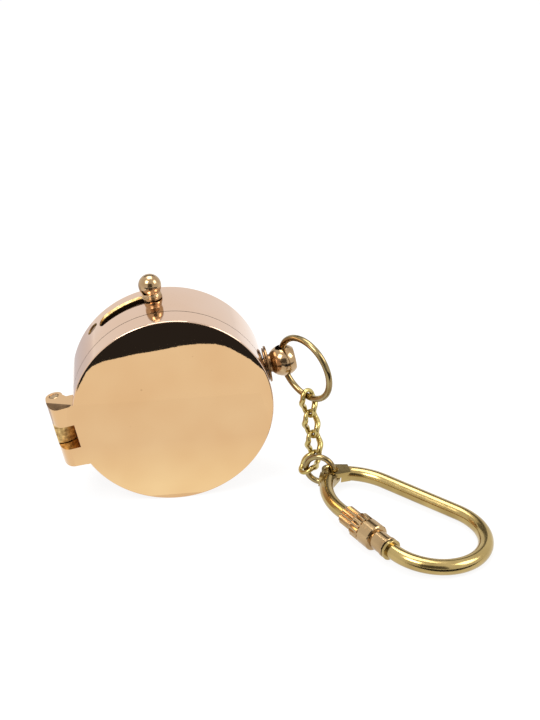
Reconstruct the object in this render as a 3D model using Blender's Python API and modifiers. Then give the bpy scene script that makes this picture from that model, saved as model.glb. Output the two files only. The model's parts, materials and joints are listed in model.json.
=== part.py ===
"""Keychain compass: a lidded brass pocket compass with a curb chain and a screw shackle.

The compass is modelled lying on its back, lid upwards, and then stood on its rim with the lid
towards -Y. The chain hangs from the bow ring, and the shackle lies on the surface at z = 0.
Lengths are in metres and angles in radians.
"""
from math import atan2, cos, pi, radians, sin, sqrt

import bpy
import bmesh
from mathutils import Matrix, Vector

# How the compass stands
CASE_DIAMETER = 0.045
CASE_DEPTH = 0.0143
LID_DEPTH = 0.0054
SEAM = 0.0002
ROLL = radians(10.8)
ROUND_STEPS = 72

# Gaps between pieces that touch on the real object
REST_GAP = 0.00015
RUNNING_GAP = 0.0001
OVERRUN = 0.001

# Case and lid
RIM_WALL = 0.001
LOWER_WALL = 0.0016
BACK_WALL = 0.0012
LID_WALL = 0.001
FACE_WALL = 0.001
BACK_ROUNDING = 0.0008
FACE_ROUNDING = 0.0004
RIM_CHAMFER = 0.0002
LEDGE_BELOW_RIM = 0.00555

# Hinge
PIN_DIAMETER = 0.0022
PIN_FROM_WALL = 0.00295
PIN_BELOW_FACE = 0.0067
BARREL_DIAMETER = 0.0038
HINGE_LENGTH = 0.0153
KNUCKLE_LENGTH = 0.0055
LEAF_CROWN = 0.0018
LEAF_HEEL = 0.0002
LEAF_ROOT = 0.0025
NOTCH_INTO_WALL = 0.0005
WEB_ROOT = 0.0007
WEB_BELOW_RIM = 0.00025
WEB_MEETS_BARREL = radians(150.0)

# Slot and lock lever
SLOT_BELOW_LEDGE = 0.00245
SLOT_WIDTH = 0.0043
LOCKED_ANGLE = radians(87.1)
LOCK_TRAVEL = radians(29.0)
LIFT = 0.0005
ARM_THICKNESS = 0.0012
ARM_WIDTH = 0.0026
ARM_FROM_WALL = 0.0007
HUB_DIAMETER = 0.0084
RAMP_WIDTH = 0.0019
RAMP_INSET = 0.0002
HUB_PROUD = 0.00005
RAMP_START = radians(205.0)
FOOT_SPAN = radians(12.0)
STEM_DIAMETER = 0.0032
COLLAR_DIAMETER = 0.0043
COLLAR_FROM_WALL = 0.0007
COLLAR_LENGTH = 0.0007
KNOB_NECK_DIAMETER = 0.0036
KNOB_BALL_DIAMETER = 0.005
KNOB_BALL_FROM_WALL = 0.0034

# Guide screw and the lifter's fork
GUIDE_ANGLE = radians(128.0)
GUIDE_DROP_SHARE = 0.37
GUIDE_HEAD_DIAMETER = 0.0029
GUIDE_TIP_DIAMETER = 0.001
GUIDE_TIP_LENGTH = 0.002
GUIDE_SINK = 0.0002
STRIP_WIDTH = 0.003
STRIP_THICKNESS = 0.0005
FORK_THICKNESS = 0.0005
FORK_FROM_WALL = 0.0013
FORK_BELOW_EYE = 0.00045

# Post, dial, needle and glass
POST_FOOT_DIAMETER = 0.006
POST_FOOT_HEIGHT = 0.001
POST_COLUMN_DIAMETER = 0.0048
POST_SEAT_DIAMETER = 0.0028
POST_SHAFT_DIAMETER = 0.0016
POST_POINT_LENGTH = 0.0014
POST_TIP_DIAMETER = 0.0001
LIFTER_TUBE_WALL = 0.0006
DIAL_THICKNESS = 0.0005
DIAL_TO_GLASS = 0.0029
DEGREE_RING_WIDTH = 0.0018
DEGREE_RING_SLOPE = 0.001
NEEDLE_LENGTH = 0.03
NEEDLE_WIDTH = 0.0046
NEEDLE_THICKNESS = 0.0003
CAP_DIAMETER = 0.0034
CAP_NECK_DIAMETER = 0.0024
CAP_FLANGE = 0.0002
CAP_HEIGHT = 0.0011
CAP_RECESS_DIAMETER = 0.0018
CAP_CROWN = 0.00025
GLASS_THICKNESS = 0.001
SNAP_RING_WIDTH = 0.0011
SNAP_RING_THICKNESS = 0.00065
SNAP_RING_SPLIT = radians(7.0)

# Pendant and bow ring
WASHER_DIAMETER = 0.0078
WASHER_THICKNESS = 0.0003
FLANGE_DIAMETER = 0.0086
FLANGE_THICKNESS = 0.0005
PENDANT_NECK_DIAMETER = 0.0038
PENDANT_BALL_DIAMETER = 0.0074
PENDANT_BALL_FROM_WALL = 0.0046
PENDANT_END_DIAMETER = 0.005
PENDANT_HOLE_DIAMETER = 0.0028
SHANK_DIAMETER = 0.003
BOW_DIAMETER = 0.0156
BOW_WIRE = 0.0015
BOW_DROP = 0.0003
BOW_SEAT_SHARE = 0.65
BOW_SWING = radians(56.0)

# Chain, jump ring
LINK_LENGTH = 0.00634
LINK_WIDTH = 0.00305
LINK_WIRE = 0.00105
LINK_TWIST = radians(90.0)
CHAIN_GAP = 0.0001
HOOK_ANGLE = radians(-100.8)
FIRST_SWING = radians(-0.9)
FIRST_LEAN = radians(17.0)
LAST_SWING = radians(63.7)
LAST_LEAN = radians(0.8)
JUMP_DIAMETER = 0.0067
JUMP_WIRE = 0.0014
JUMP_SWING = radians(-19.0)
JUMP_LEAN = radians(116.9)

# Shackle
EYE_BELOW_RING = 0.00068
EYE_FROM_RING = 0.00275
ROD_DIAMETER = 0.0034
GATE_ROD_DIAMETER = 0.0032
EYE_TO_WIDE_END = 0.0311
WIDE_END_SHARE = 0.3678
LONG_STRAIGHT_SHARE = 0.6238
LONG_ANGLE = radians(10.6)
GATE_STRAIGHT_SHARE = 0.5691
GATE_ANGLE = radians(7.3)
EYE_DIAMETER = 0.003
TANG_DIAMETER = 0.0046
TANG_THICKNESS = 0.0035
TANG_GAP = 0.00015
SHOULDER_FROM_EYE = 0.0028
BOSS_DIAMETER = 0.0047
BOSS_LENGTH = 0.0007
BOSS_FROM_WIDE_END = 0.0003
SHACKLE_TURN = radians(-55.7)
SHACKLE_TILT = radians(2.06)
SHACKLE_ROLL = radians(2.31)

# Sleeve
SLEEVE_ROOM = 0.0018
SLEEVE_COLLAR_DIAMETER = 0.0045
SLEEVE_COLLAR_SHARE = 0.295
SLEEVE_BODY_DIAMETER = 0.006
SLEEVE_BODY_SHARE = 0.43
SLEEVE_NECK_DIAMETER = 0.0047
SLEEVE_FROM_BOSS = 0.0003

# How finely round shapes are divided
MERGE = 0.00001
SHARP_EDGE = radians(32.0)
SMALL_STEPS = 40
PIN_STEPS = 32
HOLE_STEPS = 32
BARREL_STEPS = 10
BALL_STEPS = 12
ROUNDING_STEPS = 4
RING_STEPS = 40
LINK_STEPS = 8
ARM_STEPS = 8
WIDE_END_STEPS = 24
WIRE_RESOLUTION = 4

# What follows from the sizes above
CASE_RADIUS = CASE_DIAMETER / 2
RIM = CASE_DEPTH / 2
BACK = -CASE_DEPTH / 2
FLOOR = BACK + BACK_WALL
LID_EDGE = RIM + SEAM
FACE = LID_EDGE + LID_DEPTH
LEDGE = RIM - LEDGE_BELOW_RIM
BORE_RADIUS = CASE_RADIUS - RIM_WALL
CAVITY_RADIUS = CASE_RADIUS - LOWER_WALL
SLOT_LEVEL = LEDGE - SLOT_BELOW_LEDGE
PIN_RADIUS = PIN_DIAMETER / 2
PIN_OUT = CASE_RADIUS + PIN_FROM_WALL
PIN_LEVEL = FACE - PIN_BELOW_FACE
BARREL_RADIUS = BARREL_DIAMETER / 2
DIAL_BOTTOM = LEDGE + REST_GAP
DIAL_TOP = DIAL_BOTTOM + DIAL_THICKNESS
GLASS_BOTTOM = DIAL_TOP + DIAL_TO_GLASS
GLASS_TOP = GLASS_BOTTOM + GLASS_THICKNESS
ARM_TOP = SLOT_LEVEL + ARM_THICKNESS / 2
ARM_BOTTOM = SLOT_LEVEL - ARM_THICKNESS / 2
LIFTER_TOP = DIAL_BOTTOM - LIFT - REST_GAP
LIFTER_BOTTOM = LIFTER_TOP - STRIP_THICKNESS
LINK_RADIUS = LINK_WIRE / 2
BOW_RADIUS = BOW_DIAMETER / 2
JUMP_RADIUS = JUMP_DIAMETER / 2
ROD_RADIUS = ROD_DIAMETER / 2
GUIDE_LEVEL = SLOT_LEVEL - (SLOT_LEVEL - FLOOR) * GUIDE_DROP_SHARE
ARM_END = CAVITY_RADIUS - ARM_FROM_WALL
FORK_OUT = CAVITY_RADIUS - FORK_FROM_WALL
TUBE_RADIUS = POST_SHAFT_DIAMETER / 2 + RUNNING_GAP + LIFTER_TUBE_WALL
CAP_TOP = GLASS_BOTTOM - REST_GAP
CAP_BOTTOM = CAP_TOP - CAP_HEIGHT
POST_TIP = CAP_TOP - CAP_CROWN - REST_GAP
BALL_OUT = CASE_RADIUS + PENDANT_BALL_FROM_WALL
HOLE_HALF_SQUARED = (PENDANT_BALL_DIAMETER**2 - PENDANT_HOLE_DIAMETER**2) / 4
BOW_SAG = BOW_RADIUS - sqrt(BOW_RADIUS**2 - HOLE_HALF_SQUARED)
BOSS_LIP = BOSS_FROM_WIDE_END + BOSS_LENGTH
WIDE_END_RADIUS = EYE_TO_WIDE_END * WIDE_END_SHARE
LONG_STRAIGHT = EYE_TO_WIDE_END * LONG_STRAIGHT_SHARE
GATE_STRAIGHT = EYE_TO_WIDE_END * GATE_STRAIGHT_SHARE
SLEEVE_LENGTH = GATE_STRAIGHT - BOSS_LIP - SLEEVE_FROM_BOSS - SLEEVE_ROOM
SLEEVE_COLLAR_LENGTH = SLEEVE_LENGTH * SLEEVE_COLLAR_SHARE
SLEEVE_BODY_LENGTH = SLEEVE_LENGTH * SLEEVE_BODY_SHARE


def clear_scene():
    """Remove the objects that the file starts with."""
    for thing in list(bpy.data.objects):
        bpy.data.objects.remove(thing, do_unlink=True)


def new_collection(name):
    """Make a collection in the scene."""
    made = bpy.data.collections.new(name)
    bpy.context.scene.collection.children.link(made)
    return made


clear_scene()
PARTS = new_collection("keychain_compass")
CUTTERS = new_collection("cutters")


def finish_named(name, colour, metallic, roughness, alpha=1.0):
    """A Principled material with one plain finish."""
    made = bpy.data.materials.new(name)
    made.use_nodes = True
    shader = made.node_tree.nodes["Principled BSDF"]
    shader.inputs["Base Color"].default_value = (*colour, 1.0)
    shader.inputs["Metallic"].default_value = metallic
    shader.inputs["Roughness"].default_value = roughness
    shader.inputs["Alpha"].default_value = alpha
    return made


BRASS = finish_named("polished_brass", (0.80, 0.58, 0.33), 1.0, 0.12)
TURNED_BRASS = finish_named("turned_brass", (0.82, 0.64, 0.45), 1.0, 0.25)
YELLOW_BRASS = finish_named("yellow_brass", (0.70, 0.55, 0.22), 1.0, 0.22)
WHITE_DIAL = finish_named("white_dial", (0.86, 0.84, 0.78), 0.0, 0.5)
BLUED_STEEL = finish_named("blued_steel", (0.07, 0.10, 0.22), 1.0, 0.3)
CLEAR_GLASS = finish_named("clear_glass", (0.95, 0.97, 0.97), 0.0, 0.03, alpha=0.25)


def place(thing, matrix, parent=None):
    """Put an object where a world matrix says, under a parent that was itself put there."""
    thing.parent = parent
    if parent:
        thing.matrix_parent_inverse = parent.matrix_basis.inverted()
    thing.matrix_basis = matrix
    return thing


def pivot(name, matrix, parent=None):
    """An empty whose Z axis is the axis of a joint."""
    made = bpy.data.objects.new(name, None)
    made.empty_display_size = ROD_DIAMETER
    PARTS.objects.link(made)
    return place(made, matrix, parent)


def as_part(thing, matrix, parent, finish):
    """Add a shape to the model with its finish."""
    thing.data.materials.clear()
    thing.data.materials.append(finish)
    PARTS.objects.link(thing)
    return place(thing, matrix, parent)


def combine(part, tool, matrix, operation):
    """Join a shape to a part, or cut it out. The shape stays as a hidden guide."""
    CUTTERS.objects.link(tool)
    tool.hide_render = True
    tool.display_type = "WIRE"
    place(tool, matrix, part.parent)
    step = part.modifiers.new(tool.name, "BOOLEAN")
    step.operation = operation
    step.object = tool
    return part


def join(part, tool, matrix):
    return combine(part, tool, matrix, "UNION")


def cut(part, tool, matrix):
    return combine(part, tool, matrix, "DIFFERENCE")


def arc(centre, radius, start, end, steps):
    """Points along an arc, both ends included."""
    angles = [start + (end - start) * i / steps for i in range(steps + 1)]
    return [(centre[0] + radius * cos(a), centre[1] + radius * sin(a)) for a in angles]


def turned(name, outline, steps=ROUND_STEPS, closed=False):
    """Turn an outline of (radius, height) points about Z. It runs down the outer side."""
    count = len(outline)
    edges = [(i, i + 1) for i in range(count - 1)]
    if closed:
        edges.append((count - 1, 0))
    mesh = bpy.data.meshes.new(name)
    mesh.from_pydata([(r, 0.0, h) for r, h in outline], edges, [])
    made = bpy.data.objects.new(name, mesh)
    screw = made.modifiers.new("Turn", "SCREW")
    screw.axis = "Z"
    screw.angle = 2 * pi
    screw.steps = steps
    screw.render_steps = steps
    screw.use_merge_vertices = True
    screw.merge_threshold = MERGE
    screw.use_smooth_shade = True
    return made


def as_mesh(thing):
    """Make a curve object into a mesh object with welded caps."""
    CUTTERS.objects.link(thing)
    graph = bpy.context.evaluated_depsgraph_get()
    mesh = bpy.data.meshes.new_from_object(thing.evaluated_get(graph))
    name = thing.name
    bpy.data.objects.remove(thing)
    work = bmesh.new()
    work.from_mesh(mesh)
    bmesh.ops.remove_doubles(work, verts=work.verts, dist=MERGE)
    bmesh.ops.recalc_face_normals(work, faces=work.faces)
    work.to_mesh(mesh)
    work.free()
    return bpy.data.objects.new(name, mesh)


def extruded(name, outlines, thickness):
    """Flat outlines in XY with a thickness centred on Z = 0. A second outline is a hole."""
    curve = bpy.data.curves.new(name, "CURVE")
    curve.dimensions = "2D"
    curve.fill_mode = "BOTH"
    curve.extrude = thickness / 2
    for outline in outlines:
        spline = curve.splines.new("POLY")
        spline.points.add(len(outline) - 1)
        for point, (x, y) in zip(spline.points, outline):
            point.co = (x, y, 0.0, 1.0)
        spline.use_cyclic_u = True
    return as_mesh(bpy.data.objects.new(name, curve))


def wire(name, points, radius, closed=False):
    """A round wire or rod along points."""
    curve = bpy.data.curves.new(name, "CURVE")
    curve.dimensions = "3D"
    curve.bevel_depth = radius
    curve.bevel_resolution = WIRE_RESOLUTION
    curve.use_fill_caps = not closed
    spline = curve.splines.new("POLY")
    spline.points.add(len(points) - 1)
    for point, place_of in zip(spline.points, points):
        point.co = (*place_of, 1.0)
    spline.use_cyclic_u = closed
    made = as_mesh(bpy.data.objects.new(name, curve))
    made.data.shade_smooth()
    return made


def rod(name, radius, length, steps):
    """A plain cylinder along Z, centred on the origin."""
    mesh = bpy.data.meshes.new(name)
    work = bmesh.new()
    bmesh.ops.create_cone(
        work, cap_ends=True, segments=steps, radius1=radius, radius2=radius, depth=length
    )
    work.to_mesh(mesh)
    work.free()
    return bpy.data.objects.new(name, mesh)


def block(name, low, high):
    """A box between two corners."""
    mesh = bpy.data.meshes.new(name)
    work = bmesh.new()
    bmesh.ops.create_cube(work, size=1.0)
    bmesh.ops.scale(work, verts=work.verts, vec=[b - a for a, b in zip(low, high)])
    bmesh.ops.translate(work, verts=work.verts, vec=[(a + b) / 2 for a, b in zip(low, high)])
    work.to_mesh(mesh)
    work.free()
    return bpy.data.objects.new(name, mesh)


def ring(name, radius, wire_radius, steps):
    """A closed round wire in the XZ plane whose top lies at the origin."""
    points = [(x, 0.0, z - radius) for x, z in arc((0.0, 0.0), radius, 0.0, 2 * pi, steps)]
    return wire(name, points[:-1], wire_radius, closed=True)


def sector(name, inner, outer, start, end, thickness):
    """A flat piece of a ring, between two angles."""
    steps = max(2, round(ROUND_STEPS * (end - start) / (2 * pi)))
    outline = arc((0.0, 0.0), outer, start, end, steps)
    outline += arc((0.0, 0.0), inner, end, start, steps)
    return extruded(name, [outline], thickness)


def at(x, y, z):
    return Matrix.Translation((x, y, z))


def turn(angle, axis):
    return Matrix.Rotation(angle, 4, axis)


# The compass frame has X toward the pendant and Z out of the lid
STAND = at(0.0, 0.0, CASE_RADIUS * cos(pi / ROUND_STEPS)) @ turn(-ROLL, "Y") @ turn(pi / 2, "X")
# One flat of the turned walls faces straight down
FLAT_DOWN = STAND @ turn(-ROLL - pi / 2 - pi / ROUND_STEPS, "Z")
# The hinge frame has X away from the case, Y out of the lid and Z along the pin
HINGE = STAND @ turn(pi, "Z") @ turn(pi / 2, "X")


def radial(angle, height):
    """A frame on the compass axis whose Z points outwards at an angle round the dial."""
    return STAND @ at(0.0, 0.0, height) @ turn(angle, "Z") @ turn(pi / 2, "Y")


def make_case(body):
    """Turned cup with the middle knuckle, the slot, and the holes for the pendant and guide."""
    outline = [(0.0, FLOOR), (CAVITY_RADIUS, FLOOR), (CAVITY_RADIUS, LEDGE), (BORE_RADIUS, LEDGE)]
    outline += [(BORE_RADIUS, RIM), (CASE_RADIUS - RIM_CHAMFER, RIM), (CASE_RADIUS, RIM - RIM_CHAMFER)]
    corner = (CASE_RADIUS - BACK_ROUNDING, BACK + BACK_ROUNDING)
    outline += arc(corner, BACK_ROUNDING, 0.0, -pi / 2, ROUNDING_STEPS)
    outline.append((0.0, BACK))
    case = as_part(turned("case", outline), FLAT_DOWN, body, TURNED_BRASS)

    root = CASE_RADIUS - WEB_ROOT
    knuckle = [(root, PIN_LEVEL - BARREL_RADIUS)]
    knuckle += arc((PIN_OUT, PIN_LEVEL), BARREL_RADIUS, -pi / 2, WEB_MEETS_BARREL, BARREL_STEPS)
    knuckle.append((root, RIM - WEB_BELOW_RIM))
    join(case, extruded("knuckle_blank", [knuckle], KNUCKLE_LENGTH), HINGE)

    bore = rod("knuckle_bore", PIN_RADIUS + RUNNING_GAP, HINGE_LENGTH, PIN_STEPS)
    cut(case, bore, HINGE @ at(PIN_OUT, PIN_LEVEL, 0.0))

    half_travel = CASE_RADIUS * sin(LOCK_TRAVEL / 2)
    stadium = arc((0.0, half_travel), SLOT_WIDTH / 2, 0.0, pi, HOLE_STEPS // 2)
    stadium += arc((0.0, -half_travel), SLOT_WIDTH / 2, pi, 2 * pi, HOLE_STEPS // 2)
    slot = extruded("slot_blank", [stadium], CASE_RADIUS)
    halfway = radial(LOCKED_ANGLE + LOCK_TRAVEL / 2, SLOT_LEVEL)
    cut(case, slot, halfway @ at(0.0, 0.0, CASE_RADIUS))

    inner, outer = CAVITY_RADIUS - OVERRUN, CASE_RADIUS + OVERRUN
    depth, middle = outer - inner, (outer + inner) / 2
    hole = rod("shank_hole", SHANK_DIAMETER / 2 + RUNNING_GAP, depth, HOLE_STEPS)
    cut(case, hole, radial(0.0, 0.0) @ at(0.0, 0.0, middle))
    hole = rod("guide_hole", GUIDE_HEAD_DIAMETER / 2 + RUNNING_GAP, depth, HOLE_STEPS)
    cut(case, hole, radial(GUIDE_ANGLE, GUIDE_LEVEL) @ at(0.0, 0.0, middle))
    return case


def make_lid(body):
    """Turned cup with two hinge ears, cut out between them for the case's knuckle."""
    corner = (CASE_RADIUS - FACE_ROUNDING, FACE - FACE_ROUNDING)
    outline = [(0.0, FACE)] + arc(corner, FACE_ROUNDING, pi / 2, 0.0, ROUNDING_STEPS)
    outline += [(CASE_RADIUS, LID_EDGE + RIM_CHAMFER), (CASE_RADIUS - RIM_CHAMFER, LID_EDGE)]
    outline.append((0.0, LID_EDGE))
    lid = as_part(turned("lid", outline), FLAT_DOWN, body, BRASS)

    crown = CASE_RADIUS + LEAF_CROWN
    reach, rise = PIN_OUT + BARREL_RADIUS - crown, FACE - PIN_LEVEL
    steps = [pi / 2 * i / BARREL_STEPS for i in range(BARREL_STEPS)]
    leaf = [(crown + reach * sin(a), PIN_LEVEL + rise * cos(a)) for a in steps]
    leaf += arc((PIN_OUT, PIN_LEVEL), BARREL_RADIUS, 0.0, -pi, BARREL_STEPS)
    leaf.append((CASE_RADIUS + LEAF_HEEL, LID_EDGE))
    leaf += [(CASE_RADIUS - LEAF_ROOT, LID_EDGE), (CASE_RADIUS - LEAF_ROOT, FACE)]
    inside = KNUCKLE_LENGTH / 2 + REST_GAP
    width = (HINGE_LENGTH - KNUCKLE_LENGTH) / 2
    for i, side in enumerate((-1, 1)):
        ear = extruded(f"ear_blank_{i + 1}", [leaf], width)
        join(lid, ear, HINGE @ at(0.0, 0.0, side * (KNUCKLE_LENGTH + width) / 2))

    hollow = [(0.0, FACE - FACE_WALL), (CASE_RADIUS - LID_WALL, FACE - FACE_WALL)]
    hollow += [(CASE_RADIUS - LID_WALL, LID_EDGE - OVERRUN), (0.0, LID_EDGE - OVERRUN)]
    cut(lid, turned("lid_hollow", hollow), FLAT_DOWN)
    low = (CASE_RADIUS - NOTCH_INTO_WALL, LID_EDGE - OVERRUN, -inside)
    high = (PIN_OUT + BARREL_RADIUS, FACE + OVERRUN, inside)
    cut(lid, block("knuckle_notch", low, high), HINGE)
    bore = rod("ear_bore", PIN_RADIUS + RUNNING_GAP, HINGE_LENGTH + OVERRUN, PIN_STEPS)
    cut(lid, bore, HINGE @ at(PIN_OUT, PIN_LEVEL, 0.0))
    return lid


def make_hinge_pin(body):
    """Plain pin through the ears and the knuckle."""
    pin = rod("hinge_pin", PIN_RADIUS, HINGE_LENGTH, PIN_STEPS)
    return as_part(pin, HINGE @ at(PIN_OUT, PIN_LEVEL, 0.0), body, BRASS)


def make_pivot_post(body):
    """Post on the case floor: a foot, a seat for the lock arm, a shaft and a needle point."""
    seat = ARM_BOTTOM - REST_GAP
    point = POST_TIP - POST_POINT_LENGTH
    outline = [(POST_TIP_DIAMETER / 2, POST_TIP), (POST_SHAFT_DIAMETER / 2, point)]
    outline += [(POST_SHAFT_DIAMETER / 2, ARM_TOP), (POST_SEAT_DIAMETER / 2, ARM_TOP)]
    outline += [(POST_SEAT_DIAMETER / 2, seat), (POST_COLUMN_DIAMETER / 2, seat)]
    foot = FLOOR + REST_GAP
    outline.append((POST_COLUMN_DIAMETER / 2, foot + POST_FOOT_HEIGHT))
    outline.append((POST_FOOT_DIAMETER / 2, foot + POST_FOOT_HEIGHT))
    outline += [(POST_FOOT_DIAMETER / 2, foot), (0.0, foot)]
    post = turned("pivot_post", [(0.0, POST_TIP)] + outline, SMALL_STEPS)
    return as_part(post, STAND, body, BRASS)


def make_dial_plate(body):
    """Disc on the case's ledge, with a hole for the lifter's tube."""
    outer, inner = BORE_RADIUS - REST_GAP, TUBE_RADIUS + REST_GAP
    outline = [(outer, DIAL_TOP), (outer, DIAL_BOTTOM), (inner, DIAL_BOTTOM), (inner, DIAL_TOP)]
    return as_part(turned("dial_plate", outline, closed=True), STAND, body, WHITE_DIAL)


def make_degree_ring(body):
    """Sloping ring between the dial and the glass."""
    outer = BORE_RADIUS - REST_GAP
    top, bottom = GLASS_BOTTOM - REST_GAP, DIAL_TOP + REST_GAP
    inner = outer - DEGREE_RING_WIDTH
    outline = [(outer, top), (outer, bottom), (inner - DEGREE_RING_SLOPE, bottom), (inner, top)]
    return as_part(turned("degree_ring", outline, closed=True), STAND, body, BRASS)


def make_glass(body):
    """Flat glass on the degree ring."""
    outer = BORE_RADIUS - REST_GAP
    outline = [(0.0, GLASS_TOP), (outer, GLASS_TOP), (outer, GLASS_BOTTOM), (0.0, GLASS_BOTTOM)]
    return as_part(turned("glass", outline), STAND, body, CLEAR_GLASS)


def make_retaining_ring(body):
    """Split snap ring that holds the glass."""
    outer = BORE_RADIUS - REST_GAP
    inner = outer - SNAP_RING_WIDTH
    ends = (SNAP_RING_SPLIT / 2, 2 * pi - SNAP_RING_SPLIT / 2)
    snap = sector("retaining_ring", inner, outer, *ends, SNAP_RING_THICKNESS)
    middle = GLASS_TOP + REST_GAP + SNAP_RING_THICKNESS / 2
    return as_part(snap, STAND @ at(0.0, 0.0, middle), body, BRASS)


def make_needle(body):
    """Flat lozenge needle with a hole for the cap's neck."""
    tip, side = NEEDLE_LENGTH / 2, NEEDLE_WIDTH / 2
    lozenge = [(0.0, tip), (-side, 0.0), (0.0, -tip), (side, 0.0)]
    hole = arc((0.0, 0.0), CAP_NECK_DIAMETER / 2 + RUNNING_GAP, 0.0, 2 * pi, SMALL_STEPS)
    needle = extruded("needle", [lozenge, hole[:-1]], NEEDLE_THICKNESS)
    middle = CAP_BOTTOM + CAP_FLANGE + RUNNING_GAP + NEEDLE_THICKNESS / 2
    return as_part(needle, STAND @ at(0.0, 0.0, middle), body, BLUED_STEEL)


def make_needle_cap(body):
    """Cap that carries the needle on the post's point."""
    neck, flange = CAP_NECK_DIAMETER / 2, CAP_DIAMETER / 2
    outline = [(0.0, CAP_TOP), (neck, CAP_TOP), (neck, CAP_BOTTOM + CAP_FLANGE)]
    outline += [(flange, CAP_BOTTOM + CAP_FLANGE), (flange, CAP_BOTTOM)]
    outline += [(CAP_RECESS_DIAMETER / 2, CAP_BOTTOM), (0.0, CAP_TOP - CAP_CROWN)]
    return as_part(turned("needle_cap", outline, SMALL_STEPS), STAND, body, BRASS)


def raised(thing, slope, start):
    """Tilt the top of a sector into a ramp that falls along its angles, away from a start."""
    middle = sum(v.co.z for v in thing.data.vertices) / len(thing.data.vertices)
    for vertex in thing.data.vertices:
        if vertex.co.z > middle:
            angle = atan2(vertex.co.y, vertex.co.x) % (2 * pi)
            vertex.co.z += slope * ((start - angle + pi) % (2 * pi) - pi)
    return thing


def make_lock_arm(body):
    """Arm on the post with two ramps on its hub, which raise the lifter as it turns."""
    hub, bore = HUB_DIAMETER / 2, POST_SEAT_DIAMETER / 2 + RUNNING_GAP
    outline = [(hub, ARM_TOP), (hub, ARM_BOTTOM), (bore, ARM_BOTTOM), (bore, ARM_TOP)]
    arm = as_part(turned("lock_arm", outline, SMALL_STEPS, closed=True), STAND, body, BRASS)
    low = (hub - RAMP_WIDTH / 2, -ARM_WIDTH / 2, ARM_BOTTOM + HUB_PROUD)
    high = (ARM_END, ARM_WIDTH / 2, ARM_TOP - HUB_PROUD)
    join(arm, block("arm_blank", low, high), STAND @ turn(LOCKED_ANGLE, "Z"))
    slope, height = LIFT / LOCK_TRAVEL, ARM_THICKNESS - 2 * HUB_PROUD
    for i in range(2):
        foot = RAMP_START + pi * i
        start, end = foot - LOCK_TRAVEL, foot + FOOT_SPAN
        ramp = sector(f"ramp_{i + 1}", hub - RAMP_WIDTH, hub - RAMP_INSET, start, end, height)
        raised(ramp, slope, end % (2 * pi))
        join(arm, ramp, STAND @ at(0.0, 0.0, SLOT_LEVEL))
    return arm


def make_lever_knob(body):
    """Ball-headed knob screwed into the end of the lock arm."""
    ball, neck = KNOB_BALL_DIAMETER / 2, KNOB_NECK_DIAMETER / 2
    centre = CASE_RADIUS + KNOB_BALL_FROM_WALL
    low_end = -atan2(sqrt(ball**2 - neck**2), neck)
    outline = arc((0.0, centre), ball, pi / 2, low_end, BALL_STEPS)
    collar, stem = COLLAR_DIAMETER / 2, STEM_DIAMETER / 2
    bottom = CASE_RADIUS + COLLAR_FROM_WALL
    outline += [(neck, bottom + COLLAR_LENGTH), (collar, bottom + COLLAR_LENGTH)]
    outline += [(collar, bottom), (stem, bottom)]
    outline += [(stem, ARM_END + REST_GAP), (0.0, ARM_END + REST_GAP)]
    knob = turned("lever_knob", outline, SMALL_STEPS)
    return as_part(knob, radial(LOCKED_ANGLE, SLOT_LEVEL), body, BRASS)


def make_needle_lifter(body):
    """Disc and tube round the post, and a strip that ends in a fork on the guide screw."""
    hub, bore = HUB_DIAMETER / 2, POST_SHAFT_DIAMETER / 2 + RUNNING_GAP
    tube_top = CAP_BOTTOM - LIFT - RUNNING_GAP
    outline = [(TUBE_RADIUS, tube_top), (TUBE_RADIUS, LIFTER_TOP), (hub, LIFTER_TOP)]
    outline += [(hub, LIFTER_BOTTOM), (bore, LIFTER_BOTTOM), (bore, tube_top)]
    shape = turned("needle_lifter", outline, SMALL_STEPS, closed=True)
    lifter = as_part(shape, STAND, body, BRASS)
    toward_guide = STAND @ turn(GUIDE_ANGLE, "Z")
    half_eye = GUIDE_TIP_DIAMETER / 2 + RUNNING_GAP
    eye_end = GUIDE_LEVEL - LIFT - half_eye
    root, fork_in, fork_end = hub - RAMP_WIDTH / 2, FORK_OUT - FORK_THICKNESS, eye_end - FORK_BELOW_EYE
    strip = [(root, LIFTER_TOP), (FORK_OUT, LIFTER_TOP), (FORK_OUT, fork_end), (fork_in, fork_end)]
    strip += [(fork_in, LIFTER_BOTTOM), (root, LIFTER_BOTTOM)]
    join(lifter, extruded("strip_blank", [strip], STRIP_WIDTH), toward_guide @ turn(pi / 2, "X"))
    low = (FORK_OUT - FORK_THICKNESS - OVERRUN, -half_eye, eye_end)
    high = (FORK_OUT + OVERRUN, half_eye, GUIDE_LEVEL + half_eye)
    cut(lifter, block("fork_eye", low, high), toward_guide)
    top = LIFTER_BOTTOM + STRIP_THICKNESS / 2
    bottom = ARM_TOP + LIFT / LOCK_TRAVEL * FOOT_SPAN + REST_GAP
    for i in range(2):
        start = RAMP_START + pi * i
        inner = hub - RAMP_WIDTH
        foot = sector(f"foot_{i + 1}", inner, hub - RAMP_INSET, start, start + FOOT_SPAN, top - bottom)
        join(lifter, foot, STAND @ at(0.0, 0.0, (top + bottom) / 2))
    return lifter


def make_guide_screw(body):
    """Round-headed screw in the wall whose tip keeps the lifter from turning."""
    head, tip = GUIDE_HEAD_DIAMETER / 2, GUIDE_TIP_DIAMETER / 2
    outline = [(0.0, CASE_RADIUS - GUIDE_SINK), (head, CASE_RADIUS - GUIDE_SINK)]
    outline += [(head, CAVITY_RADIUS), (tip, CAVITY_RADIUS)]
    outline += [(tip, CAVITY_RADIUS - GUIDE_TIP_LENGTH), (0.0, CAVITY_RADIUS - GUIDE_TIP_LENGTH)]
    screw = turned("guide_screw", outline, SMALL_STEPS)
    return as_part(screw, radial(GUIDE_ANGLE, GUIDE_LEVEL), body, BRASS)


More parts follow.
